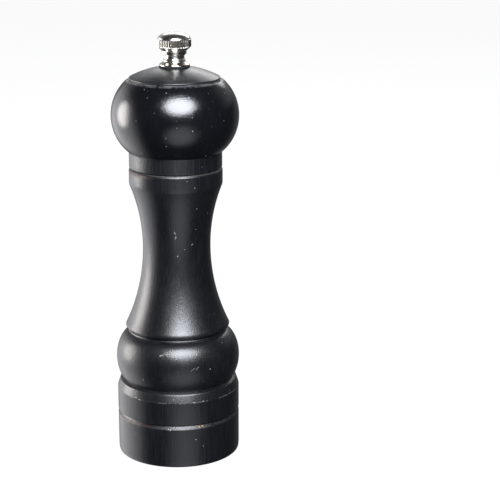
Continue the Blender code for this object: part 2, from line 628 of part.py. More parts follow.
def make_knob(parent, finish):
    """The knob, turned with a flange, neck, collar and domed crown, ribbed round its rim."""
    neck_top = KNOB_FLANGE_HEIGHT + KNOB_NECK_HEIGHT
    collar = KNOB_NECK_RADIUS + KNOB_COLLAR_OVERHANG
    collar_low = neck_top + KNOB_COLLAR_BEVEL
    collar_high = collar_low + KNOB_COLLAR_HEIGHT
    rim_low = collar_high + KNOB_CONE_HEIGHT
    rim_high = rim_low + KNOB_RIM_HEIGHT
    crown = KNOB_RIM_RADIUS - KNOB_RIM_EDGE
    sections = [
        (KNOB_FLANGE_RADIUS, 0.0),
        (KNOB_FLANGE_RADIUS, KNOB_RIM_EDGE),
        ((KNOB_FLANGE_RADIUS + KNOB_NECK_RADIUS) / 2, KNOB_FLANGE_HEIGHT / 2),
        (KNOB_NECK_RADIUS + KNOB_RIM_EDGE, KNOB_FLANGE_HEIGHT),
        (KNOB_NECK_RADIUS, KNOB_FLANGE_HEIGHT + KNOB_NECK_HEIGHT / 2),
        (KNOB_NECK_RADIUS + KNOB_RIM_EDGE, neck_top),
        (collar, collar_low),
        (collar, collar_high),
        (crown, rim_low),
    ]
    rings = [ring(circle(radius), z, KNOB_ROUND) for radius, z in sections]
    ribs = toothed(KNOB_RIM_RADIUS, KNOB_RIM_RADIUS - KNURL_DEPTH, KNOB_ROUND / 2)
    rings += [ring(ribs, z, KNOB_ROUND) for z in (rim_low + KNOB_RIM_EDGE, rim_high - KNOB_RIM_EDGE)]
    reach = math.acos(KNOB_CROWN_FLAT)
    for radius, z in arc(0, rim_high, crown, KNOB_CROWN_HEIGHT, 0, reach, CROWN_STEPS):
        rings.append(ring(circle(radius), z, KNOB_ROUND))
    knob = add_object("knob", lofted(rings), finish, parent, (0, 0, KNOB_Z))
    bore_depth = THREAD_IN_KNOB + ADJUSTMENT + KNOB_BORE_SPARE
    bore = rods(KNOB_BORE_RADIUS, bore_depth + CUT_PAST, [(0, 0)])
    combine(knob, "knob_bore", bore, "DIFFERENCE", (0, 0, KNOB_Z - CUT_PAST))


def make_shaft(parent, finish):
    """The square shaft, with a journal and clip groove below and a screw thread above."""
    tip_z = BAR_Z - JOURNAL_BELOW_BAR
    groove_low = CLIP_Z - CLIP_GROOVE_SPARE
    groove_high = CLIP_Z + CLIP_THICKNESS + CLIP_GROOVE_SPARE
    thread_z = KNOB_Z - THREAD_BELOW_KNOB
    top_z = KNOB_Z + THREAD_IN_KNOB
    bar = square(SHAFT_WIDTH, SHAFT_CORNER_RADIUS)
    root = THREAD_RADIUS - THREAD_DEPTH
    sections = [
        (circle(JOURNAL_RADIUS), tip_z),
        (circle(JOURNAL_RADIUS), groove_low),
        (circle(CLIP_GROOVE_RADIUS), groove_low),
        (circle(CLIP_GROOVE_RADIUS), groove_high),
        (circle(JOURNAL_RADIUS), groove_high),
        (circle(JOURNAL_RADIUS), ROTOR_Z),
        (bar, ROTOR_Z),
        (bar, thread_z),
        (circle(root), thread_z),
    ]
    step = THREAD_PITCH / THREAD_ROWS
    for row in range(1, int((top_z - thread_z) / step)):
        thread = toothed(root, THREAD_RADIUS, 1, row / THREAD_ROWS)
        sections.append((thread, thread_z + row * step))
    sections.append((circle(root), top_z))
    rings = [ring(radius_at, z, SHAFT_ROUND) for radius_at, z in sections]
    add_object("drive_shaft", lofted(rings), finish, parent)


def skirt_radius(z):
    """The radius of the rotor's crests at a height above its base."""
    return ROTOR_RADIUS - BURR_TAPER * z


def make_rotor(parent, finish):
    """The toothed cone that turns with the shaft, with a square hole and a pocket for the spring."""
    feed_height = ROTOR_HEIGHT - SKIRT_HEIGHT
    rows = [(SKIRT_HEIGHT * step / BURR_STEPS, TOOTH_DEPTH, TEETH) for step in range(BURR_STEPS + 1)]
    for step in range(1, BURR_STEPS):
        rows.append((SKIRT_HEIGHT + feed_height * step / BURR_STEPS, FEED_TOOTH_DEPTH, TEETH / 2))
    rows.append((ROTOR_HEIGHT, TOP_TOOTH_DEPTH, TEETH / 2))
    rings = []
    for row, (z, depth, count) in enumerate(rows):
        crest = skirt_radius(z)
        teeth = toothed(crest, crest - depth, count, row / BURR_ROUND)
        rings.append(ring(teeth, z, BURR_ROUND, row))
    rotor = add_object("rotor", lofted(rings), finish, parent, (0, 0, ROTOR_Z))
    cut_square(rotor, ROTOR_HEIGHT, ROTOR_Z)
    pocket = disc(POCKET_RADIUS, POCKET_DEPTH + CUT_PAST)
    combine(rotor, "rotor_pocket", pocket, "DIFFERENCE", (0, 0, POCKET_FLOOR_Z))


def make_stator(parent, finish):
    """The fixed outer burr, toothed inside, whose mouth opens upwards to take the peppercorns."""
    blank = burr_blank(STATOR_RADIUS, STATOR_HEIGHT)
    stator = add_object("stator", blank, finish, parent, (0, 0, STATOR_Z))
    below = ROTOR_Z - STATOR_Z
    throat = below + SKIRT_HEIGHT
    mouth = STATOR_RADIUS - STATOR_MOUTH_WALL
    rows = []
    for step in range(BURR_STEPS + 1):
        z = -TOOTH_DEPTH + (throat + TOOTH_DEPTH) * step / BURR_STEPS
        rows.append((z, skirt_radius(z - below) + GRIND_GAP))
    throat_crest = skirt_radius(SKIRT_HEIGHT) + GRIND_GAP
    for step in range(1, MOUTH_STEPS + 1):
        share = step / MOUTH_STEPS
        crest = throat_crest + (mouth - TOOTH_DEPTH - throat_crest) * share
        rows.append((throat + (STATOR_HEIGHT - throat) * share, crest))
    rows.append((STATOR_HEIGHT + CUT_PAST, mouth - TOOTH_DEPTH))
    rings = []
    for row, (z, crest) in enumerate(rows):
        teeth = toothed(crest, crest + TOOTH_DEPTH, TEETH, -row / BURR_ROUND)
        rings.append(ring(teeth, z, BURR_ROUND, -row))
    combine(stator, "stator_teeth", lofted(rings), "DIFFERENCE", (0, 0, STATOR_Z))


def make_housing(parent, finish):
    """The grinder's housing: a flanged sleeve with a bridge across its top that guides the shaft."""
    step_z = STATOR_Z + STATOR_HEIGHT + PRESS_GAP
    flange_top = HOUSING_Z + FLANGE_THICKNESS
    outline = [
        (HOUSING_BORE_RADIUS, HOUSING_Z),
        (FLANGE_RADIUS, HOUSING_Z),
        (FLANGE_RADIUS, flange_top),
        (HOUSING_RADIUS, flange_top),
        (HOUSING_RADIUS, HOUSING_TOP_Z),
        (HOUSING_BORE_RADIUS - HOUSING_STEP, HOUSING_TOP_Z),
        (HOUSING_BORE_RADIUS - HOUSING_STEP, step_z),
        (HOUSING_BORE_RADIUS, step_z),
    ]
    housing = add_object("burr_housing", turned(outline, True, ROUND), finish, parent)
    reach = 2 * (HOUSING_RADIUS - HOUSING_WALL / 2)
    bridge_place = (0, 0, BRIDGE_Z)
    combine(housing, "housing_bridge", block(reach, BRIDGE_WIDTH, BRIDGE_THICKNESS), "UNION", bridge_place)
    hub = disc(HUB_RADIUS, BRIDGE_THICKNESS)
    combine(housing, "housing_hub", hub, "UNION", bridge_place)
    bore = disc(HUB_BORE_RADIUS, BRIDGE_THICKNESS + 2 * CUT_PAST)
    combine(housing, "housing_bore", bore, "DIFFERENCE", (0, 0, BRIDGE_Z - CUT_PAST))
    places = housing_screw_places() + bar_screw_places()
    holes = rods(SCREW_HOLE_RADIUS, FLANGE_THICKNESS + 2 * CUT_PAST, places)
    combine(housing, "housing_holes", holes, "DIFFERENCE", (0, 0, HOUSING_Z - CUT_PAST))


def make_bar(parent, finish):
    """The bar across the foot that carries the shaft's lower end."""
    half_angle = math.asin(BAR_WIDTH / 2 / FLANGE_RADIUS)
    outline = []
    for side in (0.0, math.pi):
        start, end = side - half_angle, side + half_angle
        outline += arc(0, 0, FLANGE_RADIUS, FLANGE_RADIUS, start, end, BAR_END_STEPS)
    bar = add_object("retainer_bar", extruded(outline, BAR_THICKNESS), finish, parent, (0, 0, BAR_Z))
    place = (0, 0, BAR_Z - CUT_PAST)
    height = BAR_THICKNESS + 2 * CUT_PAST
    holes = rods(SCREW_HOLE_RADIUS, height, bar_screw_places())
    combine(bar, "bar_screw_holes", holes, "DIFFERENCE", place)
    bearing = rods(JOURNAL_HOLE_RADIUS, height, [(0, 0)])
    combine(bar, "bar_bearing", bearing, "DIFFERENCE", place)


def make_thrust_washer(parent, finish):
    """The washer that the clip turns on."""
    bm = washer(JOURNAL_HOLE_RADIUS, THRUST_RADIUS, 0, THRUST_THICKNESS)
    add_object("thrust_washer", bm, finish, parent, (0, 0, THRUST_Z))


def make_clip(parent, finish):
    """The open clip in the shaft's groove, which carries the rotor."""
    half = math.radians(CLIP_OPENING) / 2
    inner = CLIP_GROOVE_RADIUS + CLIP_GROOVE_SPARE
    outline = arc(0, 0, CLIP_RADIUS, CLIP_RADIUS, half, 2 * math.pi - half, CLIP_STEPS)
    outline += arc(0, 0, inner, inner, 2 * math.pi - half, half, CLIP_STEPS)
    add_object("shaft_clip", extruded(outline, CLIP_THICKNESS), finish, parent, (0, 0, CLIP_Z))


def make_spring_seat(parent, finish):
    """The washer with a square hole that turns with the shaft and holds the spring's upper end."""
    seat = disc(SPRING_OUTER_RADIUS, SEAT_THICKNESS)
    seat = add_object("spring_seat", seat, finish, parent, (0, 0, SEAT_Z))
    cut_square(seat, SEAT_THICKNESS, SEAT_Z)


def make_spring(parent, finish):
    """The coil spring that pushes the rotor down and open, with a close turn at each end."""
    low = POCKET_FLOOR_Z + THIN_GAP + SPRING_WIRE / 2
    high = SEAT_Z - THIN_GAP - SPRING_WIRE / 2
    open_pitch = (high - low - 2 * SPRING_END_PITCH) / (SPRING_TURNS - 2)
    rings = []
    for step in range(SPRING_TURNS * COIL_ROUND + 1):
        turns = step / COIL_ROUND
        closed_turns = min(turns, 1) + max(turns - SPRING_TURNS + 1, 0)
        z = low + closed_turns * SPRING_END_PITCH + (turns - closed_turns) * open_pitch
        angle = 2 * math.pi * turns
        points = []
        for side in range(WIRE_ROUND):
            round_wire = 2 * math.pi * side / WIRE_ROUND
            radius = SPRING_RADIUS + SPRING_WIRE / 2 * math.cos(round_wire)
            height = z + SPRING_WIRE / 2 * math.sin(round_wire)
            points.append((radius * math.cos(angle), radius * math.sin(angle), height))
        rings.append(points)
    add_object("spring", lofted(rings), finish, parent)


def build():
    """Clears the scene and makes the mill."""
    for obj in list(bpy.data.objects):
        bpy.data.objects.remove(obj)
    ebony = material("black_lacquered_beech", (0.012, 0.012, 0.013), 0.35, 0.0)
    chrome = material("polished_chrome", (0.75, 0.75, 0.73), 0.12, 1.0)
    fibre = material("black_fibre", (0.02, 0.02, 0.02), 0.8, 0.0)
    burr_steel = material("hardened_steel", (0.33, 0.32, 0.31), 0.45, 1.0)
    zinc = material("zinc_plated_steel", (0.60, 0.60, 0.58), 0.35, 1.0)
    aluminium = material("drawn_aluminium", (0.70, 0.70, 0.71), 0.38, 1.0)
    spring_steel = material("spring_steel", (0.42, 0.42, 0.43), 0.3, 1.0)
    nylon = material("black_nylon", (0.018, 0.018, 0.019), 0.55, 0.0)

    body_frame = add_frame("body_frame")
    turning_frame = add_frame("turning_frame", body_frame)
    shaft_frame = add_frame("shaft_frame", turning_frame)
    head_frame = add_frame("head_frame", turning_frame)
    knob_frame = add_frame("knob_frame", head_frame)

    make_body(body_frame, ebony)
    make_housing(body_frame, nylon)
    make_stator(body_frame, burr_steel)
    make_bar(body_frame, zinc)
    make_thrust_washer(body_frame, zinc)
    make_pan_screws("housing_screw", HOUSING_Z, housing_screw_places(), 0.0, body_frame, zinc)
    make_pan_screws("bar_screw", BAR_Z, bar_screw_places(), math.radians(35), body_frame, zinc)
    make_spring(turning_frame, spring_steel)
    make_spring_seat(turning_frame, zinc)
    make_shaft(shaft_frame, aluminium)
    make_rotor(shaft_frame, burr_steel)
    make_clip(shaft_frame, spring_steel)
    make_head(head_frame, ebony)
    make_drive_plate(head_frame, zinc, zinc)
    make_washer(knob_frame, fibre)
    make_knob(knob_frame, chrome)


build()
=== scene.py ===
"""The finished look of a turned wooden pepper mill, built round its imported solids.

Lengths are in millimetres until a shape is made, and z runs up the mill's axis from its foot.
"""

import logging
import math
from dataclasses import dataclass
from enum import Enum
from typing import Callable, Iterable, Iterator

import bpy
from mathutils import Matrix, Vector


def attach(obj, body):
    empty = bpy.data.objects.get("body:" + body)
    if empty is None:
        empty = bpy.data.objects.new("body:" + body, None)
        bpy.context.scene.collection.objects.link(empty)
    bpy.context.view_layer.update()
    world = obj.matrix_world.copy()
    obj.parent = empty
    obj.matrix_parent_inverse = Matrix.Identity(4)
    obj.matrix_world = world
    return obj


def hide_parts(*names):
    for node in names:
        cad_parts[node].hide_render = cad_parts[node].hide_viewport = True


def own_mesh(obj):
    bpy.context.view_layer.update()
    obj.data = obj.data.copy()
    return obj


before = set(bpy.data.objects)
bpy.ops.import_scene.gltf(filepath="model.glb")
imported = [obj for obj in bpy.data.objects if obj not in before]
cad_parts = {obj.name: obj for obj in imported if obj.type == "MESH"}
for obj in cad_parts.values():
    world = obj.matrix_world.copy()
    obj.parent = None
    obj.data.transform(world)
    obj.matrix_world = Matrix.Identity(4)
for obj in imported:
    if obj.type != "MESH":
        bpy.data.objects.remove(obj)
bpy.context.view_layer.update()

MM = 0.001
TAU = 2 * math.pi
SMOOTH_DEGREES = 40.0  # edges sharper than this are shaded sharp
PATH_MERGE = 1e-7
SEAM_MERGE = 2e-7
ROUNDED_SHARE = 0.49  # most that a rounding takes of the edge beside it

Point = tuple[float, float]
Place = tuple[float, float, float]
Colour = tuple[float, float, float, float]
Corner = tuple[float, float, float]  # radius, height and length of rounding, 0 for a point that stays
Span = tuple[float, float, float, float]  # a value's start and end, and what they are turned into

log = logging.getLogger("pepper_mill")


# ---------------------------------------------------------------- node trees


def linear(hex_colour: str) -> Colour:
    """Turns an sRGB hex colour into linear values.

    Args:
        hex_colour: six hex digits, with or without a leading hash.

    Returns:
        Linear red, green, blue and an alpha of 1.
    """
    digits = hex_colour.lstrip("#")
    parts = [int(digits[i : i + 2], 16) / 255 for i in (0, 2, 4)]
    values = [part / 12.92 if part <= 0.04045 else ((part + 0.055) / 1.055) ** 2.4 for part in parts]
    return (values[0], values[1], values[2], 1.0)


def grow(
    tree: bpy.types.NodeTree,
    kind: str,
    settings: dict[str | int, object] | None = None,
    links: dict[str | int, bpy.types.NodeSocket] | None = None,
) -> bpy.types.Node:
    """Adds a node to a tree, with its settings and links.

    Args:
        tree: the tree that grows.
        kind: the node's type name.
        settings: values by property name, or by input name or number.
        links: sockets to join, by input name or number.

    Returns:
        The new node.
    """
    node = tree.nodes.new(kind)
    for key, value in (settings or {}).items():
        if isinstance(key, str) and key in node.bl_rna.properties:
            setattr(node, key, value)
        else:
            node.inputs[key].default_value = value
    for key, socket in (links or {}).items():
        tree.links.new(socket, node.inputs[key])
    return node


def span(steps: Span) -> dict[str | int, object]:
    """Gives the settings of a map range node that turns a value's start and end into two others."""
    return dict(enumerate(steps, start=1))


def new_material(name: str) -> tuple[bpy.types.Material, bpy.types.NodeTree, bpy.types.Node]:
    """Makes a material.

    Args:
        name: what the real material is.

    Returns:
        The material, its node tree and its main shader.
    """
    material = bpy.data.materials.new(name)
    material.use_nodes = True
    return material, material.node_tree, material.node_tree.nodes["Principled BSDF"]


# ---------------------------------------------------------------- finishes


class Worn(Enum):
    """What shows where the lacquer is rubbed or chipped, and one painted glint, as sRGB hex."""

    RUBBED = "#454443"  # lacquer dulled and whitened along an edge
    STAIN = "#3a1c14"  # red-brown stain where the black is thin
    BARE = "#806a34"  # bare beech
    FILLER_AND_GLINT = "#7c7a76"  # pale grain filler in a fresh chip; on two scratches across the bead it is also a painted glint
    DUST = "#8a8c92"  # dust caught in the lacquer
    SCUFF = "#484a4e"  # scuffed lacquer


@dataclass(frozen=True)
class Pattern:
    """Noise with features of one size, which may be stretched along the axes."""

    size_mm: float
    detail: float = 3.0
    stretch: Place = (1.0, 1.0, 1.0)
    roughness: float = 0.5

    def sample(self, tree: bpy.types.NodeTree, coords: bpy.types.NodeSocket) -> bpy.types.NodeSocket:
        """Adds the noise to a tree.

        Args:
            tree: the material's node tree.
            coords: the place on the piece.

        Returns:
            The noise's value.
        """
        mapped = grow(tree, "ShaderNodeMapping", {"Scale": self.stretch}, {"Vector": coords}).outputs[0]
        settings = {"Scale": 1 / (self.size_mm * MM), "Detail": self.detail, "Roughness": self.roughness}
        return grow(tree, "ShaderNodeTexNoise", settings, {"Vector": mapped}).outputs[0]


@dataclass(frozen=True)
class WearBand:
    """A ring of wear round the axis at one height, broken up by noise."""

    z: float
    half_width: float
    cover: float  # share of the ring that is worn
    strength: float
    worn: Worn = Worn.RUBBED
    left_only: bool = False


@dataclass(frozen=True)
class Mark:
    """A chip or scratch at one place on the surface."""

    place: Place
    size: Place  # half length, half width and depth of the marked region
    turn: float  # degrees about the line of sight from the axis
    worn: Worn = Worn.FILLER_AND_GLINT


@dataclass(frozen=True)
class LacqueredBeech:
    """Turned beech, stained black and lacquered.

    The stain leaves the wood nearly black, so it is seen by its gloss. The lacquer has a fine orange peel
    that breaks up the edges of reflections, the grain telegraphs through it as upright streaks, and the
    tool leaves faint rings. Edges are rubbed pale.
    """

    name: str
    black: str = "#06070a"
    streak: str = "#131315"
    roughness: float = 0.28
    roughness_spread: float = 0.1
    peel_depth: float = 0.03
    grain_depth: float = 0.05
    ring_depth: float = 0.004
    dust_share: float = 0.0  # share of places that have a speck of dust under the lacquer
    bands: tuple[WearBand, ...] = ()
    marks: tuple[Mark, ...] = ()

    PEEL = Pattern(0.8, 3.0, roughness=0.6)  # dimples of the lacquer
    GRAIN = Pattern(0.55, 4.0, (1.0, 1.0, 0.035), 0.6)  # upright streaks
    RINGS = Pattern(0.7, 2.0, (0.004, 0.004, 1.0), 0.6)  # left by the turning tool
    SMUDGE = Pattern(14.0, 5.0, (1.0, 1.0, 0.6), 0.6)  # left by hands
    PATCHES = Pattern(6.0, 4.0, roughness=0.6)  # lengths of edge that are worn
    CRUMBS = Pattern(0.8, 3.0, roughness=0.6)  # breaks up what is worn
    STREAKS = (0.45, 0.75, 0.0, 0.55)  # grey of the streaks over the grain
    SMUDGED = (0.3, 0.7)  # smudge noise from clean to smudged
    PATCH_MIDDLE = 1.0  # patches and crumbs together, where half the ring is worn
    PATCH_SPREAD = 0.55  # change of that for a change of cover
    PATCH_EDGE = (-0.05, 0.07)  # how the edge of a patch fades
    LEFT_SIDE = (-22.0, -8.0)  # where wear that is only at the left is full and where it ends
    SPECK_MM = 1.7  # spacing of places for dust specks
    SPECK_REACH = 0.17  # radius of a speck as a share of their spacing
    SPECK_STRENGTH = 0.8
    RAGGED = -1.6  # how far crumbs push a mark's edge
    MARK_EDGE = (-0.1, 0.15)  # how the edge of a mark fades
    WORN_ROUGHNESS = 0.7
    IOR = 1.5

    def build(self) -> bpy.types.Material:
        """Builds the material.

        Returns:
            The finished material.
        """
        material, tree, shader = new_material(self.name)
        coords = grow(tree, "ShaderNodeTexCoord").outputs["Object"]
        grain = self.GRAIN.sample(tree, coords)
        settings = {"data_type": "RGBA", 6: linear(self.black), 7: linear(self.streak)}
        streak = grow(tree, "ShaderNodeMapRange", span(self.STREAKS), {0: grain}).outputs[0]
        colour = grow(tree, "ShaderNodeMix", settings, {0: streak}).outputs[2]
        worn = None
        for layer, mask in self._wear(tree, coords):
            settings = {"data_type": "RGBA", 7: linear(layer.value)}
            colour = grow(tree, "ShaderNodeMix", settings, {0: mask, 6: colour}).outputs[2]
            if worn is not None:
                mask = grow(tree, "ShaderNodeMath", {"operation": "MAXIMUM"}, {0: worn, 1: mask}).outputs[0]
            worn = mask
        tree.links.new(colour, shader.inputs["Base Color"])
        self._gloss(tree, shader, self.SMUDGE.sample(tree, coords), grain, worn)
        rings, peel = self.RINGS.sample(tree, coords), self.PEEL.sample(tree, coords)
        self._relief(tree, shader, peel, grain, rings)
        return material

    def _wear(
        self, tree: bpy.types.NodeTree, coords: bpy.types.NodeSocket
    ) -> Iterator[tuple[Worn, bpy.types.NodeSocket]]:
        """Adds the masks of the worn bands and marks.

        Args:
            tree: the material's node tree.
            coords: the place on the piece.

        Yields:
            What shows and its mask, lowest layer first.
        """
        split = grow(tree, "ShaderNodeSeparateXYZ", None, {0: coords})
        crumbs = self.CRUMBS.sample(tree, coords)
        links = {0: self.PATCHES.sample(tree, coords), 1: crumbs}
        patches = grow(tree, "ShaderNodeMath", {"operation": "ADD"}, links).outputs[0]
        for band in self.bands:
            yield band.worn, self._band_mask(tree, split, patches, band)
        for mark in self.marks:
            yield mark.worn, self._mark_mask(tree, coords, crumbs, mark)
        if self.dust_share:
            yield Worn.DUST, self._speck_mask(tree, coords)

    def _band_mask(
        self,
        tree: bpy.types.NodeTree,
        split: bpy.types.Node,
        patches: bpy.types.NodeSocket,
        band: WearBand,
    ) -> bpy.types.NodeSocket:
        """Adds the mask of one ring of wear.

        Args:
            tree: the material's node tree.
            split: the node that gives the place on the piece by its axes.
            patches: noise that says how worn a place is.
            band: the ring.

        Returns:
            The mask.
        """
        times = {"operation": "MULTIPLY"}
        settings = {"operation": "SUBTRACT", 1: band.z * MM}
        away = grow(tree, "ShaderNodeMath", settings, {0: split.outputs["Z"]}).outputs[0]
        away = grow(tree, "ShaderNodeMath", {"operation": "ABSOLUTE"}, {0: away}).outputs[0]
        settings = {"interpolation_type": "SMOOTHSTEP"} | span((0.0, band.half_width * MM, 1.0, 0.0))
        near = grow(tree, "ShaderNodeMapRange", settings, {0: away}).outputs[0]
        edge = self.PATCH_MIDDLE + self.PATCH_SPREAD * (0.5 - band.cover)
        settings = span((edge + self.PATCH_EDGE[0], edge + self.PATCH_EDGE[1], 0.0, band.strength))
        patches = grow(tree, "ShaderNodeMapRange", settings, {0: patches}).outputs[0]
        mask = grow(tree, "ShaderNodeMath", times, {0: near, 1: patches}).outputs[0]
        if band.left_only:
            settings = span((self.LEFT_SIDE[0] * MM, self.LEFT_SIDE[1] * MM, 1.0, 0.0))
            side = grow(tree, "ShaderNodeMapRange", settings, {0: split.outputs["X"]}).outputs[0]
            mask = grow(tree, "ShaderNodeMath", times, {0: mask, 1: side}).outputs[0]
        return mask

    def _speck_mask(self, tree: bpy.types.NodeTree, coords: bpy.types.NodeSocket) -> bpy.types.NodeSocket:
        """Adds the mask of the scattered specks of dust.

        Args:
            tree: the material's node tree.
            coords: the place on the piece.

        Returns:
            The mask.
        """
        cells = grow(tree, "ShaderNodeTexVoronoi", {"Scale": 1 / (self.SPECK_MM * MM)}, {"Vector": coords})
        pick = grow(tree, "ShaderNodeSeparateColor", None, {0: cells.outputs["Color"]}).outputs[0]
        settings = span((1 - self.dust_share, 1.0, 0.0, self.SPECK_REACH))
        reach = grow(tree, "ShaderNodeMapRange", settings, {0: pick}).outputs[0]
        links = {0: reach, 1: cells.outputs["Distance"]}
        inside = grow(tree, "ShaderNodeMath", {"operation": "SUBTRACT"}, links).outputs[0]
        settings = span((0.0, self.SPECK_REACH / 2, 0.0, self.SPECK_STRENGTH))
        return grow(tree, "ShaderNodeMapRange", settings, {0: inside}).outputs[0]

    def _mark_mask(
        self,
        tree: bpy.types.NodeTree,
        coords: bpy.types.NodeSocket,
        crumbs: bpy.types.NodeSocket,
        mark: Mark,
    ) -> bpy.types.NodeSocket:
        """Adds the mask of one chip or scratch.

        Args:
            tree: the material's node tree.
            coords: the place on the piece.
            crumbs: noise that makes the edge ragged.
            mark: the chip or scratch.

        Returns:
            The mask.
        """
        away = {"operation": "SUBTRACT", 1: [part * MM for part in mark.place]}
        local = grow(tree, "ShaderNodeVectorMath", away, {0: coords}).outputs[0]
        bearing = math.atan2(mark.place[0], -mark.place[1])
        for axis, angle in (("Z_AXIS", -bearing), ("Y_AXIS", math.radians(mark.turn))):
            turned = {"rotation_type": axis, "Angle": angle}
            local = grow(tree, "ShaderNodeVectorRotate", turned, {"Vector": local}).outputs[0]
        length, width, depth = (1 / (part * MM) for part in mark.size)
        scaled = {"Scale": (length, depth, width)}
        local = grow(tree, "ShaderNodeMapping", scaled, {"Vector": local}).outputs[0]
        reach = grow(tree, "ShaderNodeVectorMath", {"operation": "LENGTH"}, {0: local}).outputs["Value"]
        ragged = {"operation": "MULTIPLY_ADD", 1: self.RAGGED}
        reach = grow(tree, "ShaderNodeMath", ragged, {0: crumbs, 2: reach}).outputs[0]
        return grow(tree, "ShaderNodeMapRange", span((*self.MARK_EDGE, 1.0, 0.0)), {0: reach}).outputs[0]

    def _gloss(
        self,
        tree: bpy.types.NodeTree,
        shader: bpy.types.Node,
        smudge: bpy.types.NodeSocket,
        grain: bpy.types.NodeSocket,
        worn: bpy.types.NodeSocket | None,
    ) -> None:
        """Sets how the lacquer shines: duller in smudges and streaks, and dull where it is worn.

        Args:
            tree: the material's node tree.
            shader: its main shader.
            smudge: noise of the smudges.
            grain: noise of the streaks.
            worn: mask of what is worn, if anything is.
        """
        low = self.roughness - self.roughness_spread / 2
        settings = span((*self.SMUDGED, low, low + self.roughness_spread))
        rough = grow(tree, "ShaderNodeMapRange", settings, {0: smudge}).outputs[0]
        settings = {"operation": "MULTIPLY_ADD", 1: self.roughness_spread}
        rough = grow(tree, "ShaderNodeMath", settings, {0: grain, 2: rough}).outputs[0]
        if worn is not None:
            settings = {"data_type": "FLOAT", 3: self.WORN_ROUGHNESS}
            rough = grow(tree, "ShaderNodeMix", settings, {0: worn, 2: rough}).outputs[0]
        tree.links.new(rough, shader.inputs["Roughness"])
        shader.inputs["IOR"].default_value = self.IOR

    def _relief(
        self,
        tree: bpy.types.NodeTree,
        shader: bpy.types.Node,
        peel: bpy.types.NodeSocket,
        grain: bpy.types.NodeSocket,
        rings: bpy.types.NodeSocket,
    ) -> None:
        """Adds the relief.

        Args:
            tree: the material's node tree.
            shader: its main shader.
            peel: height of the dimples.
            grain: height of the grain.
            rings: height of the tool's rings.
        """
        links: dict[str | int, bpy.types.NodeSocket] = {}
        for height, depth in ((rings, self.ring_depth), (grain, self.grain_depth), (peel, self.peel_depth)):
            links["Height"] = height
            links["Normal"] = grow(tree, "ShaderNodeBump", {"Distance": depth * MM}, links).outputs[0]
        tree.links.new(links["Normal"], shader.inputs["Normal"])


@dataclass(frozen=True)
class Metal:
    """Bare or plated metal, whose gloss is broken by handling and by fine marks from how it was made."""

    name: str
    colour: str
    roughness: float
    roughness_spread: float = 0.1
    mark_mm: float = 0.3  # width of the marks left by drawing, turning or grinding
    mark_stretch: Place = (1.0, 1.0, 1.0)
    mark_depth: float = 0.001
    tarnish: str = ""  # colour of the patches that have dulled

    PATCHES = Pattern(4.0, 5.0)
    DULLED = (0.45, 0.7, 0.0, 1.0)  # how far a patch has dulled, over its noise

    def build(self) -> bpy.types.Material:
        """Builds the material.

        Returns:
            The finished material.
        """
        material, tree, shader = new_material(self.name)
        coords = grow(tree, "ShaderNodeTexCoord").outputs["Object"]
        marks = Pattern(self.mark_mm, stretch=self.mark_stretch).sample(tree, coords)
        patches = self.PATCHES.sample(tree, coords)
        dulled = grow(tree, "ShaderNodeMapRange", span(self.DULLED), {0: patches}).outputs[0]
        settings = {
            "data_type": "RGBA",
            6: linear(self.colour),
            7: linear(self.tarnish or self.colour),
        }
        colour = grow(tree, "ShaderNodeMix", settings, {0: dulled}).outputs[2]
        tree.links.new(colour, shader.inputs["Base Color"])
        settings = {"operation": "MULTIPLY_ADD", 1: self.roughness_spread, 2: self.roughness}
        rough = grow(tree, "ShaderNodeMath", settings, {0: dulled}).outputs[0]
        settings = {"operation": "MULTIPLY_ADD", 1: self.roughness_spread / 2}
        rough = grow(tree, "ShaderNodeMath", settings, {0: marks, 2: rough}).outputs[0]
        tree.links.new(rough, shader.inputs["Roughness"])
        shader.inputs["Metallic"].default_value = 1.0
        relief = {"Distance": self.mark_depth * MM}
        normal = grow(tree, "ShaderNodeBump", relief, {"Height": marks}).outputs[0]
        tree.links.new(normal, shader.inputs["Normal"])
        return material


@dataclass(frozen=True)
class Moulded:
    """Moulded plastic or pressed fibre, with a fine spark-eroded texture and a little dust."""

    name: str
    colour: str
    dust: str
    roughness: float
    texture_mm: float
    texture_depth: float

    DUST_DETAIL = 6.0
    DUST_SIZE = 12  # times the texture's
    DUSTY = (0.5, 0.8, 0.0, 0.6)  # how far dust covers, over its noise
    GLOSS_SPREAD = 0.2

    def build(self) -> bpy.types.Material:
        """Builds the material.

        Returns:
            The finished material.
        """
        material, tree, shader = new_material(self.name)
        coords = grow(tree, "ShaderNodeTexCoord").outputs["Object"]
        texture = Pattern(self.texture_mm).sample(tree, coords)
        dust = Pattern(self.DUST_SIZE * self.texture_mm, self.DUST_DETAIL).sample(tree, coords)
        dusty = grow(tree, "ShaderNodeMapRange", span(self.DUSTY), {0: dust}).outputs[0]
        settings = {"data_type": "RGBA", 6: linear(self.colour), 7: linear(self.dust)}
        colour = grow(tree, "ShaderNodeMix", settings, {0: dusty}).outputs[2]
        tree.links.new(colour, shader.inputs["Base Color"])
        settings = {"operation": "MULTIPLY_ADD", 1: self.GLOSS_SPREAD, 2: self.roughness}
        rough = grow(tree, "ShaderNodeMath", settings, {0: texture}).outputs[0]
        tree.links.new(rough, shader.inputs["Roughness"])
        relief = {"Distance": self.texture_depth * MM}
        normal = grow(tree, "ShaderNodeBump", relief, {"Height": texture}).outputs[0]
        tree.links.new(normal, shader.inputs["Normal"])
        return material


# ---------------------------------------------------------------- modelling


def deselect() -> None:
    """Leaves edit mode and deselects every object."""
    if bpy.context.object and bpy.context.object.mode != "OBJECT":
        bpy.ops.object.mode_set(mode="OBJECT")
    bpy.ops.object.select_all(action="DESELECT")


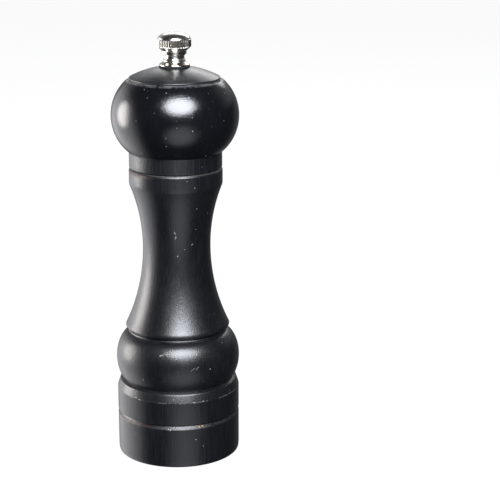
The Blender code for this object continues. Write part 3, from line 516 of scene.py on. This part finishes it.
def arc(centre: Point, radii: Point, start: float, end: float, steps: int) -> list[Point]:
    """Works out points along an arc of an upright ellipse.

    Args:
        centre: radius and height of the ellipse's centre.
        radii: its half width and half height.
        start: angle of the first point in degrees, from straight out.
        end: angle of the last point.
        steps: number of stretches between points.

    Returns:
        The points, with both ends.
    """
    points = []
    for step in range(steps + 1):
        angle = math.radians(start + (end - start) * step / steps)
        points.append((centre[0] + radii[0] * math.cos(angle), centre[1] + radii[1] * math.sin(angle)))
    return points


def eased(corners: list[Corner], steps: int = 5) -> list[Point]:
    """Rounds the corners of an outline.

    Args:
        corners: the outline's corners.
        steps: number of stretches round each corner.

    Returns:
        The rounded outline.
    """
    points: list[Point] = []
    for i, (r, z, reach) in enumerate(corners):
        here = Vector((r, z))
        if reach == 0 or i in (0, len(corners) - 1):
            points.append((r, z))
            continue
        before = Vector(corners[i - 1][:2]) - here
        after = Vector(corners[i + 1][:2]) - here
        start = here + before.normalized() * min(reach, before.length * ROUNDED_SHARE)
        end = here + after.normalized() * min(reach, after.length * ROUNDED_SHARE)
        for step in range(steps + 1):
            share = step / steps
            point = start * (1 - share) ** 2 + here * (2 * share * (1 - share)) + end * share**2
            points.append((point.x, point.y))
    return points


def placed(corners: Iterable[Corner], r: float, z: float) -> list[Corner]:
    """Moves corners that are given from one point of a piece to where that point is."""
    return [(r + out, z + up, reach) for out, up, reach in corners]


def sharp(points: Iterable[Point]) -> list[Corner]:
    """Makes corners of points that aren't rounded."""
    return [(r, z, 0.0) for r, z in points]


def turn(name: str, outline: list[Point], segments: int, closed: bool = True) -> bpy.types.Object:
    """Turns an outline about the mill's axis, by extruding a vertex along it and spinning it.

    Args:
        name: the piece's name.
        outline: radius and height of each point, in millimetres.
        segments: steps round the axis.
        closed: whether the outline returns to its first point, or ends on the axis at both ends.

    Returns:
        The turned piece, with its place in its mesh.
    """
    deselect()
    bpy.ops.mesh.primitive_plane_add(size=MM, location=(0, 0, 0))
    piece = bpy.context.object
    piece.name = name
    bpy.ops.object.mode_set(mode="EDIT")
    bpy.ops.mesh.merge(type="CENTER")
    r, z = outline[0]
    bpy.ops.transform.translate(value=(r * MM, 0, z * MM))
    path = outline[1:] + outline[:1] if closed else outline[1:]
    for next_r, next_z in path:
        step = ((next_r - r) * MM, 0, (next_z - z) * MM)
        bpy.ops.mesh.extrude_region_move(TRANSFORM_OT_translate={"value": step})
        r, z = next_r, next_z
    bpy.ops.mesh.select_all(action="SELECT")
    bpy.ops.mesh.remove_doubles(threshold=PATH_MERGE)
    bpy.ops.mesh.spin(steps=segments, angle=TAU, center=(0, 0, 0), axis=(0, 0, 1))
    bpy.ops.mesh.select_all(action="SELECT")
    bpy.ops.mesh.remove_doubles(threshold=SEAM_MERGE)
    bpy.ops.mesh.normals_make_consistent(inside=False)
    bpy.ops.object.mode_set(mode="OBJECT")
    bpy.ops.object.shade_smooth_by_angle(angle=math.radians(SMOOTH_DEGREES))
    return piece


def select_vertices(piece: bpy.types.Object, wanted: Callable[[Vector], bool]) -> None:
    """Selects a piece's vertices by their place, and enters edit mode.

    Args:
        piece: the piece.
        wanted: says whether the vertex at a place is selected.
    """
    deselect()
    bpy.context.view_layer.objects.active = piece
    piece.select_set(True)
    mesh = piece.data
    for polygon in mesh.polygons:
        polygon.select = False
    for edge in mesh.edges:
        edge.select = False
    for vertex in mesh.vertices:
        vertex.select = wanted(vertex.co)
    bpy.ops.object.mode_set(mode="EDIT")
    bpy.ops.mesh.select_mode(type="VERT")


def dress(piece: bpy.types.Object, *materials: bpy.types.Material) -> None:
    """Gives a piece its materials.

    Args:
        piece: the piece.
        materials: its materials, first slot first.
    """
    piece.data.materials.clear()
    for material in materials:
        piece.data.materials.append(material)


def dress_faces(piece: bpy.types.Object, slot: int, wanted: Callable[[Vector], bool]) -> None:
    """Gives some of a piece's faces one of its materials.

    Args:
        piece: the piece.
        slot: the material's slot.
        wanted: says whether the face with its centre at a place is one of them.
    """
    for polygon in piece.data.polygons:
        if wanted(polygon.center):
            polygon.material_index = slot


# ---------------------------------------------------------------- the mill


@dataclass
class TurnedBody:
    """The wooden body, from the foot to the rim that the head turns on."""

    base_radius: float = 29.3
    recess_radius: float = 22.26
    recess_depth: float = 10.6
    grinder_bore_radius: float = 16.96
    grinder_bore_top: float = 29.1
    chamber_radius: float = 12.3
    socket_radius: float = 15.0
    socket_depth: float = 10.2
    band_groove_z: float = 18.9
    shoulder_z: float = 32.2
    notch_radius: float = 25.2
    notch_z: float = 37.4
    bead_radius: float = 29.48
    bead_z: float = 47.3
    bead_bulge: float = 8.0
    bead_half_height: float = 13.2
    bead_top_z: float = 60.1
    lip_groove_radius: float = 23.2
    lip_radius: float = 1.3
    flare_radius: float = 24.79
    lip_z: float = 63.2
    waist_radius: float = 16.05
    waist_z: float = 101.6
    neck_radius: float = 22.0
    neck_z: float = 132.0
    rim_z: float = 139.6
    segments: int = 240

    # corners from the base's, the neck's or the lip groove's own radius and height
    FOOT = ((-0.25, 0.0, 0.8), (0.0, 2.5, 0.6))
    BAND_GROOVE = ((0.0, 0.0, 0.3), (-0.85, 1.75, 0.25), (-0.85, 2.1, 0.15), (0.0, 2.35, 0.25))
    SHOULDER = ((0.0, 0.0, 0.35), (-0.65, 2.0, 1.2), (-1.3, 3.9, 0.4), (-3.3, 5.2, 0.4))
    LIP_GROOVE = ((0.55, 0.35, 0.25), (0.35, 1.0, 0.25), (-0.1, 1.25, 0.2))
    RIM = ((0.0, -1.0, 0.3), (-0.7, 0.0, 0.35))
    NOTCH_LAND = 0.35  # between the notch and the bead
    LIP_ARC = (-80.0, -8.0, 8)  # start, end and steps
    BEAD_STEPS = 36
    FLARE_STEPS = 30
    NECK_STEPS = 26

    def outline(self) -> list[Point]:
        """Works out the outline, up the outside and down through the bores.

        Returns:
            The outline, with its corners rounded.
        """
        corners = [(self.recess_radius, 0.0, 0.0)]
        corners += placed(self.FOOT, self.base_radius, 0.0)
        corners += placed(self.BAND_GROOVE, self.base_radius, self.band_groove_z)
        corners += placed(self.SHOULDER, self.base_radius, self.shoulder_z)
        corners.append((self.notch_radius, self.notch_z, 0.2))
        corners += sharp(self._bead())
        corners += placed(self.LIP_GROOVE, self.lip_groove_radius, self.bead_top_z)
        lip_core = (self.flare_radius - self.lip_radius, self.lip_z)
        corners += sharp(arc(lip_core, (self.lip_radius, self.lip_radius), *self.LIP_ARC))
        corners += sharp(self._waist(self.flare_radius, self.lip_z, self.FLARE_STEPS)[::-1])
        corners += sharp(self._waist(self.neck_radius, self.neck_z, self.NECK_STEPS)[1:-1])
        corners.append((self.neck_radius, self.neck_z, 1.6))
        corners += placed(self.RIM, self.neck_radius, self.rim_z)
        socket_z = self.rim_z - self.socket_depth
        corners += [
            (self.socket_radius, self.rim_z, 0.4),
            (self.socket_radius, socket_z, 0.3),
            (self.chamber_radius, socket_z, 0.5),
            (self.chamber_radius, self.grinder_bore_top, 0.3),
            (self.grinder_bore_radius, self.grinder_bore_top, 0.5),
            (self.grinder_bore_radius, self.recess_depth, 0.4),
            (self.recess_radius, self.recess_depth, 0.5),
        ]
        return eased(corners)

    def _bead(self) -> list[Point]:
        """Works out the bead, from the notch under it to its top edge.

        Returns:
            The bead's points.
        """
        core = self.bead_radius - self.bead_bulge
        low = -math.degrees(math.acos((self.notch_radius + self.NOTCH_LAND - core) / self.bead_bulge))
        high = math.degrees(math.asin((self.bead_top_z - self.bead_z) / self.bead_half_height))
        return arc((core, self.bead_z), (self.bead_bulge, self.bead_half_height), low, high, self.BEAD_STEPS)

    def _waist(self, end_radius: float, end_z: float, steps: int) -> list[Point]:
        """Works out the circle that is upright at the waist, up to an end.

        Args:
            end_radius: radius of the end.
            end_z: height of the end.
            steps: number of stretches between points.

        Returns:
            The points, from the waist on.
        """
        rise, spread = end_z - self.waist_z, end_radius - self.waist_radius
        radius = (rise**2 + spread**2) / (2 * spread)
        reach = math.degrees(math.asin(rise / radius))
        return arc((self.waist_radius + radius, self.waist_z), (-radius, radius), 0, reach, steps)

    def finish(self) -> LacqueredBeech:
        """Says how the body is finished: satin, with its edges rubbed and chipped.

        Returns:
            The finish.
        """
        return LacqueredBeech(
            name="black_lacquered_beech_satin",
            streak="#161619",
            dust_share=0.07,
            bands=(
                WearBand(self.rim_z - 0.2, 0.5, 0.8, 0.35),
                WearBand(self.rim_z - 1.4, 1.2, 0.8, 0.9, Worn.STAIN, left_only=True),
                WearBand(self.bead_top_z + 0.1, 0.35, 0.55, 0.3),
                WearBand(self.lip_z - 1.0, 0.3, 0.5, 0.2),
                WearBand(self.shoulder_z + 0.1, 0.4, 0.5, 0.55),
                WearBand(self.band_groove_z + 0.7, 1.1, 0.6, 0.12),
                WearBand(self.band_groove_z + 0.6, 1.1, 0.7, 0.6, Worn.STAIN, left_only=True),
                WearBand(0.6, 0.5, 0.35, 0.2),
            ),
            marks=(
                Mark((11.8, -26.6, 19.9), (0.75, 0.32, 1.5), 10, Worn.BARE),
                Mark((13.4, -25.8, 20.0), (0.5, 0.3, 1.5), -12, Worn.BARE),
                Mark((-2.6, -28.9, 19.3), (0.32, 0.26, 1.5), 0),
                Mark((-1.4, -28.9, 19.3), (0.3, 0.22, 1.5), 0),
                Mark((-18.6, -22.7, 32.8), (0.9, 0.2, 1.5), 18),
                Mark((-16.6, -24.1, 32.3), (0.45, 0.24, 1.5), 0),
                Mark((13.7, -25.7, 32.6), (0.4, 0.2, 1.5), 25),
                Mark((9.5, -27.5, 32.4), (0.6, 0.16, 1.5), -8),
                # two scratches across the bead where the key highlight falls, painted pale: partly the
                # scratches' own whitening, partly a painted glint that stands in for the light they catch
                Mark((-5.6, -27.0, 55.4), (1.7, 0.16, 2.5), 20, Worn.FILLER_AND_GLINT),
                Mark((-2.6, -27.0, 56.2), (1.8, 0.14, 2.5), 4, Worn.FILLER_AND_GLINT),
                Mark((9.4, -27.9, 49.0), (1.6, 0.16, 1.5), 35, Worn.SCUFF),
                Mark((11.3, -27.3, 49.4), (1.4, 0.16, 1.5), 40, Worn.SCUFF),
                Mark((-14.6, -25.4, 42.5), (0.35, 0.3, 1.5), 0),
                Mark((8.4, -13.9, 105.5), (0.8, 0.3, 1.5), 35, Worn.SCUFF),
                Mark((0.6, -16.7, 111.6), (1.0, 0.35, 1.5), -65, Worn.SCUFF),
                Mark((0.9, -16.6, 109.4), (1.1, 0.4, 1.5), 70, Worn.SCUFF),
                Mark((10.9, -15.7, 123.0), (0.35, 0.35, 1.5), 0, Worn.SCUFF),
            ),
        )

    def make(self) -> bpy.types.Object:
        """Makes the piece.

        Returns:
            The piece, riding on its body.
        """
        piece = turn("turned_body", self.outline(), self.segments)
        dress(piece, self.finish().build())
        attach(piece, "body")
        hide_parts("body")
        return piece


@dataclass
class TurnedHead:
    """The wooden head: tenon, collar, bulb, ledge and shallow dome."""

    collar_z: float = 139.9
    tenon_length: float = 9.4
    tenon_radius: float = 14.7
    plate_recess_radius: float = 12.4
    plate_recess_depth: float = 1.7
    bore_radius: float = 4.43
    collar_radius: float = 21.8
    collar_height: float = 7.3
    bulb_radius: float = 29.83
    bulb_bulge: float = 19.8
    bulb_half_height: float = 21.1
    ledge_radius: float = 22.5
    dome_radius: float = 21.2
    dome_edge_z: float = 181.85
    dome_rise: float = 5.3
    seat_radius: float = 7.75
    segments: int = 240

    # corners from the collar's or the dome's own radius, and from the height of collar, ledge or dome
    COLLAR = ((0.0, 0.0, 0.45), (0.0, 3.0, 0.3))
    LEDGE = ((-0.4, 0.05, 0.15),)
    DOME_EDGE = ((-0.4, -0.75, 0.12), (0.0, -0.55, 0.2), (-0.05, 0.0, 0.35))
    BULB_EDGE = 0.35  # rounding of its two edges
    BULB_STEPS = 60
    DOME_STEPS = 24
    BULB_INNER_SHARE = 0.9  # of the collar's radius; what lies further in isn't the bulb's outside

    def __post_init__(self) -> None:
        """Works out where the bulb and the ledge lie."""
        self.core = self.bulb_radius - self.bulb_bulge
        self.low = math.degrees(math.acos((self.collar_radius - self.core) / self.bulb_bulge))
        self.high = math.degrees(math.acos((self.ledge_radius - self.core) / self.bulb_bulge))
        rise = self.bulb_half_height * math.sin(math.radians(self.low))
        self.bulb_z = self.collar_z + self.collar_height + rise
        self.ledge_z = self.bulb_z + self.bulb_half_height * math.sin(math.radians(self.high))

    def outline(self) -> list[Point]:
        """Works out the outline, up the outside and down through the shaft's bore.

        Returns:
            The outline, with its corners rounded.
        """
        tenon_z = self.collar_z - self.tenon_length
        corners = [
            (self.plate_recess_radius, tenon_z, 0.0),
            (self.tenon_radius, tenon_z, 0.5),
            (self.tenon_radius, self.collar_z, 0.2),
        ]
        corners += placed(self.COLLAR, self.collar_radius, self.collar_z)
        bulb = arc(
            (self.core, self.bulb_z),
            (self.bulb_bulge, self.bulb_half_height),
            -self.low,
            self.high,
            self.BULB_STEPS,
        )
        corners.append((*bulb[0], self.BULB_EDGE))
        corners += sharp(bulb[1:-1])
        corners.append((*bulb[-1], self.BULB_EDGE))
        corners += placed(self.LEDGE, self.dome_radius, self.ledge_z)
        corners += placed(self.DOME_EDGE, self.dome_radius, self.dome_edge_z)
        dome = []
        for step in range(1, self.DOME_STEPS + 1):
            radius = self.dome_radius + (self.seat_radius - self.dome_radius) * step / self.DOME_STEPS
            rise = self.dome_rise * (1 - (radius / self.dome_radius) ** 2)
            dome.append((radius, self.dome_edge_z + rise))
        corners += sharp(dome)
        corners += [
            (self.bore_radius, dome[-1][1], 0.3),
            (self.bore_radius, tenon_z + self.plate_recess_depth, 0.2),
            (self.plate_recess_radius, tenon_z + self.plate_recess_depth, 0.3),
        ]
        return eased(corners)

    def gloss_finish(self) -> LacqueredBeech:
        """Says how the bulb is finished: gloss, with dust in the lacquer.

        Returns:
            The finish.
        """
        return LacqueredBeech(
            name="black_lacquered_beech_gloss",
            roughness=0.14,
            roughness_spread=0.06,
            peel_depth=0.065,
            grain_depth=0.03,
            dust_share=0.4,
            bands=(WearBand(self.ledge_z - 0.1, 0.6, 0.5, 0.5),),
        )

    def satin_finish(self) -> LacqueredBeech:
        """Says how collar, ledge and dome are finished: satin, with the ledge left rough.

        Returns:
            The finish.
        """
        return LacqueredBeech(
            name="black_lacquered_beech_satin_head",
            streak="#1f1f22",
            dust_share=0.3,
            grain_depth=0.09,
            bands=(
                WearBand(self.ledge_z + 0.1, 1.0, 0.5, 0.9),
                WearBand(self.dome_edge_z - 0.1, 0.2, 0.4, 0.2),
                WearBand(self.collar_z + 0.2, 0.3, 0.4, 0.2),
            ),
        )

    def make(self) -> bpy.types.Object:
        """Makes the piece.

        Returns:
            The piece, riding on its body.
        """
        piece = turn("turned_head", self.outline(), self.segments)
        dress(piece, self.satin_finish().build(), self.gloss_finish().build())
        low = (self.collar_z + self.collar_height) * MM
        high = self.ledge_z * MM
        inner = self.collar_radius * self.BULB_INNER_SHARE * MM
        dress_faces(piece, 1, lambda at: low < at.z < high and math.hypot(at.x, at.y) > inner)
        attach(piece, "head")
        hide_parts("head")
        return piece


@dataclass
class AdjustingKnob:
    """The ribbed knob that sets how finely the mill grinds."""

    seat_z: float = 187.38
    flange_radius: float = 7.03
    neck_radius: float = 4.6
    collar_radius: float = 5.65
    rim_radius: float = 7.88
    rim_low: float = 8.5
    rim_high: float = 12.0
    height: float = 15.186
    bore_radius: float = 2.65
    bore_depth: float = 11.3
    ribs: int = 40
    rib_steps: int = 6
    rib_depth: float = 0.55

    # corners from the radius of flange, neck, collar or rim
    FLANGE = ((0.0, 0.0, 0.15), (0.0, 0.5, 0.2), (-0.7, 0.85, 0.4))
    NECK = (
        (0.75, 1.6, 0.5),
        (0.45, 2.1, 0.15),
        (0.6, 2.45, 0.15),
        (0.3, 2.8, 0.15),
        (0.05, 3.2, 0.3),
        (0.0, 3.9, 0.4),
        (0.15, 4.5, 0.3),
        (0.45, 4.85, 0.15),
        (0.5, 5.1, 0.1),
    )
    COLLAR = ((0.0, 5.2, 0.15), (0.0, 6.6, 0.25), (0.55, 7.1, 0.3))
    UNDER_RIM = ((-0.6, -0.35, 0.3), (-0.1, 0.0, 0.2))
    CROWN_INSET = 0.25
    CROWN_ARC = (4.0, 90.0, 22)  # start, end and steps
    RIM_STEPS = 12
    RIM_MARGIN = 0.1  # of the rim left plain above and below the ribs
    RIM_SKIN = 0.3  # how far in a vertex still counts as the rim's
    RIB_SHAPE = ((0, 1.0), (1, 0.75), (5, 0.75), (2, 0.12), (4, 0.12))  # lines of a valley, and their depth

    def outline(self) -> list[Point]:
        """Works out the outline, from the bore's mouth up the outside, and down the bore.

        Returns:
            The outline, with its corners rounded and its place on the axis.
        """
        corners = [
            (0.0, self.bore_depth, 0.0),
            (self.bore_radius, self.bore_depth, 0.2),
            (self.bore_radius, 0.0, 0.3),
        ]
        corners += placed(self.FLANGE, self.flange_radius, 0.0)
        corners += placed(self.NECK, self.neck_radius, 0.0)
        corners += placed(self.COLLAR, self.collar_radius, 0.0)
        corners += placed(self.UNDER_RIM, self.rim_radius, self.rim_low)
        rim_height = self.rim_high - self.rim_low
        for step in range(1, self.RIM_STEPS + 1):
            corners.append((self.rim_radius, self.rim_low + rim_height * step / self.RIM_STEPS, 0.0))
        crown = (self.rim_radius - self.CROWN_INSET, self.height - self.rim_high)
        corners += sharp(arc((0, self.rim_high), crown, *self.CROWN_ARC))
        outline = eased(corners)
        outline[-1] = (0.0, self.height)
        return [(r, self.seat_z + z) for r, z in outline]

    def make(self, finish: Metal, valley_metal: Metal) -> bpy.types.Object:
        """Makes the piece.

        Args:
            finish: the knob's metal.
            valley_metal: the darker, duller chrome on the faces between the ribs.

        Returns:
            The piece, riding on its body.
        """
        piece = turn("adjusting_knob", self.outline(), self.ribs * self.rib_steps, closed=False)
        low = (self.seat_z + self.rim_low + self.RIM_MARGIN) * MM
        high = (self.seat_z + self.rim_high - self.RIM_MARGIN) * MM
        skin = (self.rim_radius - self.RIM_SKIN) * MM
        step = TAU / (self.ribs * self.rib_steps)
        for offset, share in self.RIB_SHAPE:

            def in_valley(at: Vector) -> bool:
                """Says whether a vertex of the rim lies on this line of the valley."""
                line = round(math.atan2(at.y, at.x) / step) % self.rib_steps
                return line == offset and low < at.z < high and math.hypot(at.x, at.y) > skin

            select_vertices(piece, in_valley)
            shrink = 1 - share * self.rib_depth / self.rim_radius
            bpy.ops.transform.resize(value=(shrink, shrink, 1), center_override=(0, 0, 0))
        deselect()
        dress(piece, finish.build(), valley_metal.build())
        # the faces in the rib valleys get the darker, duller chrome, so the valleys read darker than the
        # ribs
        deep = (self.rim_radius - self.rib_depth / 2) * MM
        dress_faces(piece, 1, lambda at: low < at.z < high and math.hypot(at.x, at.y) < deep)
        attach(piece, "knob")
        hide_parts("knob")
        return piece


@dataclass
class KnobWasher:
    """The thin fibre washer between knob and dome."""

    low: float = 186.68
    thickness: float = 0.5
    inner_radius: float = 4.43
    outer_radius: float = 7.24
    segments: int = 120

    INNER_EDGE = 0.08
    OUTER_EDGE = 0.15
    SEAM = 0.01  # between the outline's first and last points

    def make(self, finish: Moulded) -> bpy.types.Object:
        """Makes the piece.

        Args:
            finish: the washer's fibre.

        Returns:
            The piece, riding on its body.
        """
        high = self.low + self.thickness
        middle = (self.low + high) / 2
        corners = [
            (self.inner_radius, middle, 0.0),
            (self.inner_radius, self.low, self.INNER_EDGE),
            (self.outer_radius, self.low, self.OUTER_EDGE),
            (self.outer_radius, high, self.OUTER_EDGE),
            (self.inner_radius, high, self.INNER_EDGE),
            (self.inner_radius, middle + self.SEAM, 0.0),
        ]
        piece = turn("fibre_washer", eased(corners), self.segments)
        dress(piece, finish.build())
        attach(piece, "washer")
        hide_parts("knob_washer")
        return piece


@dataclass
class RotorSpring:
    """The coil spring that holds the rotor down, with a close turn at each end."""

    low: float = 18.0
    high: float = 25.3
    radius: float = 4.6835
    wire: float = 0.8
    turns: int = 5
    close_pitch: float = 0.9
    steps: int = 28  # round one turn
    wire_steps: int = 12
    travel: float = 1.2  # of the shaft, by which the spring gets shorter

    def make(self, finish: Metal) -> bpy.types.Object:
        """Makes the piece, by drawing the wire's end face round the coil.

        Args:
            finish: the spring's metal.

        Returns:
            The piece, riding on its body.
        """
        deselect()
        bpy.ops.mesh.primitive_circle_add(
            vertices=self.wire_steps, radius=self.wire / 2 * MM, fill_type="NGON", location=(0, 0, 0)
        )
        piece = bpy.context.object
        piece.name = "rotor_spring"
        bpy.ops.object.mode_set(mode="EDIT")
        upright = {"value": math.pi / 2, "orient_axis": "X", "center_override": (0, 0, 0)}
        bpy.ops.transform.rotate(**upright)
        bpy.ops.transform.translate(value=(self.radius * MM, 0, (self.low + self.wire / 2) * MM))
        rise = self.high - self.low - self.wire
        open_pitch = (rise - 2 * self.close_pitch) / (self.turns - 2)
        pitches = [self.close_pitch] + [open_pitch] * (self.turns - 2) + [self.close_pitch]
        onward = {"value": -TAU / self.steps, "orient_axis": "Z", "center_override": (0, 0, 0)}
        for pitch in pitches:
            climb = {"value": (0, 0, pitch / self.steps * MM)}
            for _ in range(self.steps):
                bpy.ops.mesh.extrude_region_move(TRANSFORM_OT_translate=climb)
                bpy.ops.transform.rotate(**onward)
        bpy.ops.mesh.select_all(action="SELECT")
        bpy.ops.mesh.normals_make_consistent(inside=False)
        bpy.ops.object.mode_set(mode="OBJECT")
        bpy.ops.object.shade_smooth_by_angle(angle=math.radians(SMOOTH_DEGREES))
        dress(piece, finish.build())
        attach(piece, "turning_seat")
        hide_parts("spring")
        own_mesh(piece)
        return piece


class Stock(Enum):
    """The stock that the inner pieces are made of."""

    CHROME = Metal("polished_chrome_plate", "#dad7d0", 0.15, 0.1, 0.5, tarnish="#c9c5bc")
    # darker, duller chrome for the faces between the knob's ribs
    VALLEY_CHROME = Metal("dark_valley_chrome_plate", "#57544c", 0.42, 0.15, 0.4, mark_depth=0.004, tarnish="#2f2d29")
    ZINC = Metal("zinc_plated_steel", "#b9bcc0", 0.3, 0.14, 0.25, mark_depth=0.002, tarnish="#a09c92")
    DRAWN = Metal("drawn_aluminium", "#c6c8ca", 0.34, 0.12, 0.12, (1, 1, 0.02), 0.002, "#a9aaab")
    BURR = Metal("hardened_burr_steel", "#7e7c79", 0.38, 0.2, 0.2, mark_depth=0.004, tarnish="#4d3f33")
    SPRING = Metal("bright_spring_steel", "#a4a6a9", 0.22, 0.12, 0.15, mark_depth=0.001, tarnish="#7a7671")
    FIBRE = Moulded("vulcanised_black_fibre", "#0d0d0e", "#2a2928", 0.6, 0.12, 0.006)
    NYLON = Moulded("moulded_black_nylon", "#121213", "#3a352e", 0.45, 0.2, 0.008)


INNER_STOCK: dict[str, Stock] = {
    "drive_plate": Stock.ZINC,
    "drive_plate_screw_1": Stock.ZINC,
    "drive_plate_screw_2": Stock.ZINC,
    "drive_shaft": Stock.DRAWN,
    "rotor": Stock.BURR,
    "shaft_clip": Stock.SPRING,
    "spring_seat": Stock.ZINC,
    "stator": Stock.BURR,
    "burr_housing": Stock.NYLON,
    "housing_screw_1": Stock.ZINC,
    "housing_screw_2": Stock.ZINC,
    "retainer_bar": Stock.ZINC,
    "bar_screw_1": Stock.ZINC,
    "bar_screw_2": Stock.ZINC,
    "thrust_washer": Stock.ZINC,
}


def dress_inner_nodes() -> None:
    """Gives the inner pieces that are kept as solids their materials."""
    built: dict[Stock, bpy.types.Material] = {}
    for node, stock in INNER_STOCK.items():
        if stock not in built:
            built[stock] = stock.value.build()
        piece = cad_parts[node]
        if not piece.material_slots:
            piece.data.materials.append(built[stock])
        for slot in piece.material_slots:
            slot.material = built[stock]


# ---------------------------------------------------------------- studio


@dataclass(frozen=True)
class Softbox:
    """A soft oval light aimed at the mill."""

    name: str
    bearing: float  # degrees round from straight in front, to the right
    rise: float  # degrees above level
    distance: float
    width: float
    height: float
    brightness: float  # radiance
    colour: str = "#ffffff"

    def place(self, target: Place) -> bpy.types.Object:
        """Adds the light.

        Args:
            target: the place it is aimed at.

        Returns:
            The light.
        """
        data = bpy.data.lights.new(self.name, "AREA")
        data.shape = "ELLIPSE"
        data.size = self.width
        data.size_y = self.height
        data.energy = math.pi**2 / 4 * self.width * self.height * self.brightness
        data.color = linear(self.colour)[:3]
        light = bpy.data.objects.new(self.name, data)
        bpy.context.scene.collection.objects.link(light)
        bearing, rise = math.radians(self.bearing), math.radians(self.rise)
        level = math.cos(rise)
        away = Vector((math.sin(bearing) * level, -math.cos(bearing) * level, math.sin(rise)))
        light.location = Vector(target) + away * self.distance
        light.rotation_euler = away.to_track_quat("Z", "Y").to_euler()
        light.visible_camera = False
        return light


@dataclass
class Studio:
    """A pale table in a soft studio, bright at the left and behind and dim at the right."""

    floor_size: float = 12.0
    target: Place = (0.0, 0.0, 0.12)
    window: Place = (-0.9, 0.37, -0.23)  # direction of the bright window and what it lights at the left
    pool: Place = (0.225, -0.79, -0.57)  # direction of the light pool on the table in front of the mill
    camera_place: Place = (0.05870, -0.70421, 0.29131)
    camera_tilt: float = math.pi / 2 - 0.2659
    camera_pan: float = 0.0339
    lens: float = 110.80
    sensor: float = 36.0
    near_clip: float = 0.01
    floor_colour: str = "#2c2c2c"
    floor_glow: float = 0.92  # keeps the table evenly pale however the lights fall
    floor_roughness: float = 0.8
    view_transform: str = "Standard"

    # brightness over how far a direction is toward the window or the pool
    WINDOW = (0.65, 0.99, 0.03, 2.5)
    POOL = (0.85, 0.99, 0.0, 1.5)
    # brightness over how far a direction is backward, and over its height
    WALL = (0.1, 0.6, 0.0, 0.32)
    WALL_FOOT = (0.05, 0.25, 0.0, 1.0)
    WALL_TOP = (0.5, 0.75, 1.0, 0.2)
    BEHIND = (0.6, 0.9, 0.0, 0.14)

    def build(self) -> None:
        """Adds the floor, the surroundings, the lights and the camera."""
        bpy.context.scene.view_settings.view_transform = self.view_transform
        self._floor()
        self._surroundings()
        boxes = (
            Softbox("key_softbox", 15, 38, 1.2, 1.05, 0.85, 27.0, "#f4f8ff"),
            Softbox("left_softbox", -102, 3, 1.0, 0.5, 0.62, 10.0, "#fff9f6"),
            Softbox("back_softbox", 172, 28, 1.4, 1.2, 0.5, 4.0),
        )
        for box in boxes:
            box.place(self.target)
        self._camera()

    def _floor(self) -> None:
        """Adds the table top."""
        deselect()
        bpy.ops.mesh.primitive_plane_add(size=self.floor_size, location=(0, 0, 0))
        floor = bpy.context.object
        floor.name = "table_top"
        material, tree, shader = new_material("matte_white_laminate")
        shader.inputs["Roughness"].default_value = self.floor_roughness
        shader.inputs["Base Color"].default_value = linear(self.floor_colour)
        shader.inputs["Emission Color"].default_value = linear("#ffffff")
        shader.inputs["Emission Strength"].default_value = self.floor_glow
        dress(floor, material)
        floor.visible_glossy = False

    def _surroundings(self) -> None:
        """Adds the room's brightness by direction, and a plain pale backdrop for what is seen of it."""
        world = bpy.data.worlds.new("studio")
        bpy.context.scene.world = world
        world.use_nodes = True
        tree = world.node_tree
        tree.nodes.clear()
        toward = grow(tree, "ShaderNodeTexCoord").outputs["Generated"]
        split = grow(tree, "ShaderNodeSeparateXYZ", None, {0: toward})
        _, y, z = split.outputs

        def fade(value: bpy.types.NodeSocket, steps: Span) -> bpy.types.NodeSocket:
            """Adds a soft step from one brightness to another."""
            settings = {"interpolation_type": "SMOOTHSTEP"} | span(steps)
            return grow(tree, "ShaderNodeMapRange", settings, {0: value}).outputs[0]

        def toward_place(place: Place) -> bpy.types.NodeSocket:
            """Adds how far a direction is toward a place."""
            settings = {"operation": "DOT_PRODUCT", 1: place}
            return grow(tree, "ShaderNodeVectorMath", settings, {0: toward}).outputs["Value"]

        wall = fade(y, self.WALL)
        for steps in (self.WALL_FOOT, self.WALL_TOP):
            links = {0: wall, 1: fade(z, steps)}
            wall = grow(tree, "ShaderNodeMath", {"operation": "MULTIPLY"}, links).outputs[0]
        total = fade(toward_place(self.window), self.WINDOW)
        for part in (fade(toward_place(self.pool), self.POOL), wall, fade(y, self.BEHIND)):
            total = grow(tree, "ShaderNodeMath", {"operation": "ADD"}, {0: total, 1: part}).outputs[0]
        room = grow(tree, "ShaderNodeBackground", {"Color": linear("#fbfbff")}, {"Strength": total})
        seen = grow(tree, "ShaderNodeBackground", {"Color": linear("#fafafa"), "Strength": 1.0})
        ray = grow(tree, "ShaderNodeLightPath").outputs["Is Camera Ray"]
        links = {0: ray, 1: room.outputs[0], 2: seen.outputs[0]}
        mixed = grow(tree, "ShaderNodeMixShader", None, links).outputs[0]
        grow(tree, "ShaderNodeOutputWorld", None, {"Surface": mixed})

    def _camera(self) -> None:
        """Adds the camera."""
        data = bpy.data.cameras.new("camera")
        data.lens = self.lens
        data.sensor_width = self.sensor
        data.clip_start = self.near_clip
        camera = bpy.data.objects.new("camera", data)
        camera.location = self.camera_place
        camera.rotation_euler = (self.camera_tilt, 0, self.camera_pan)
        bpy.context.scene.collection.objects.link(camera)
        bpy.context.scene.camera = camera


def main() -> None:
    """Builds the studio and the mill, and reports each piece."""
    logging.basicConfig(level=logging.INFO, format="%(name)s: %(message)s")
    Studio().build()
    pieces = [
        TurnedBody().make(),
        TurnedHead().make(),
        AdjustingKnob().make(Stock.CHROME.value, Stock.VALLEY_CHROME.value),
        KnobWasher().make(Stock.FIBRE.value),
        RotorSpring().make(Stock.SPRING.value),
    ]
    dress_inner_nodes()
    for piece in pieces:
        log.info("%s: %d faces", piece.name, len(piece.data.polygons))


if __name__ == "__main__":
    main()
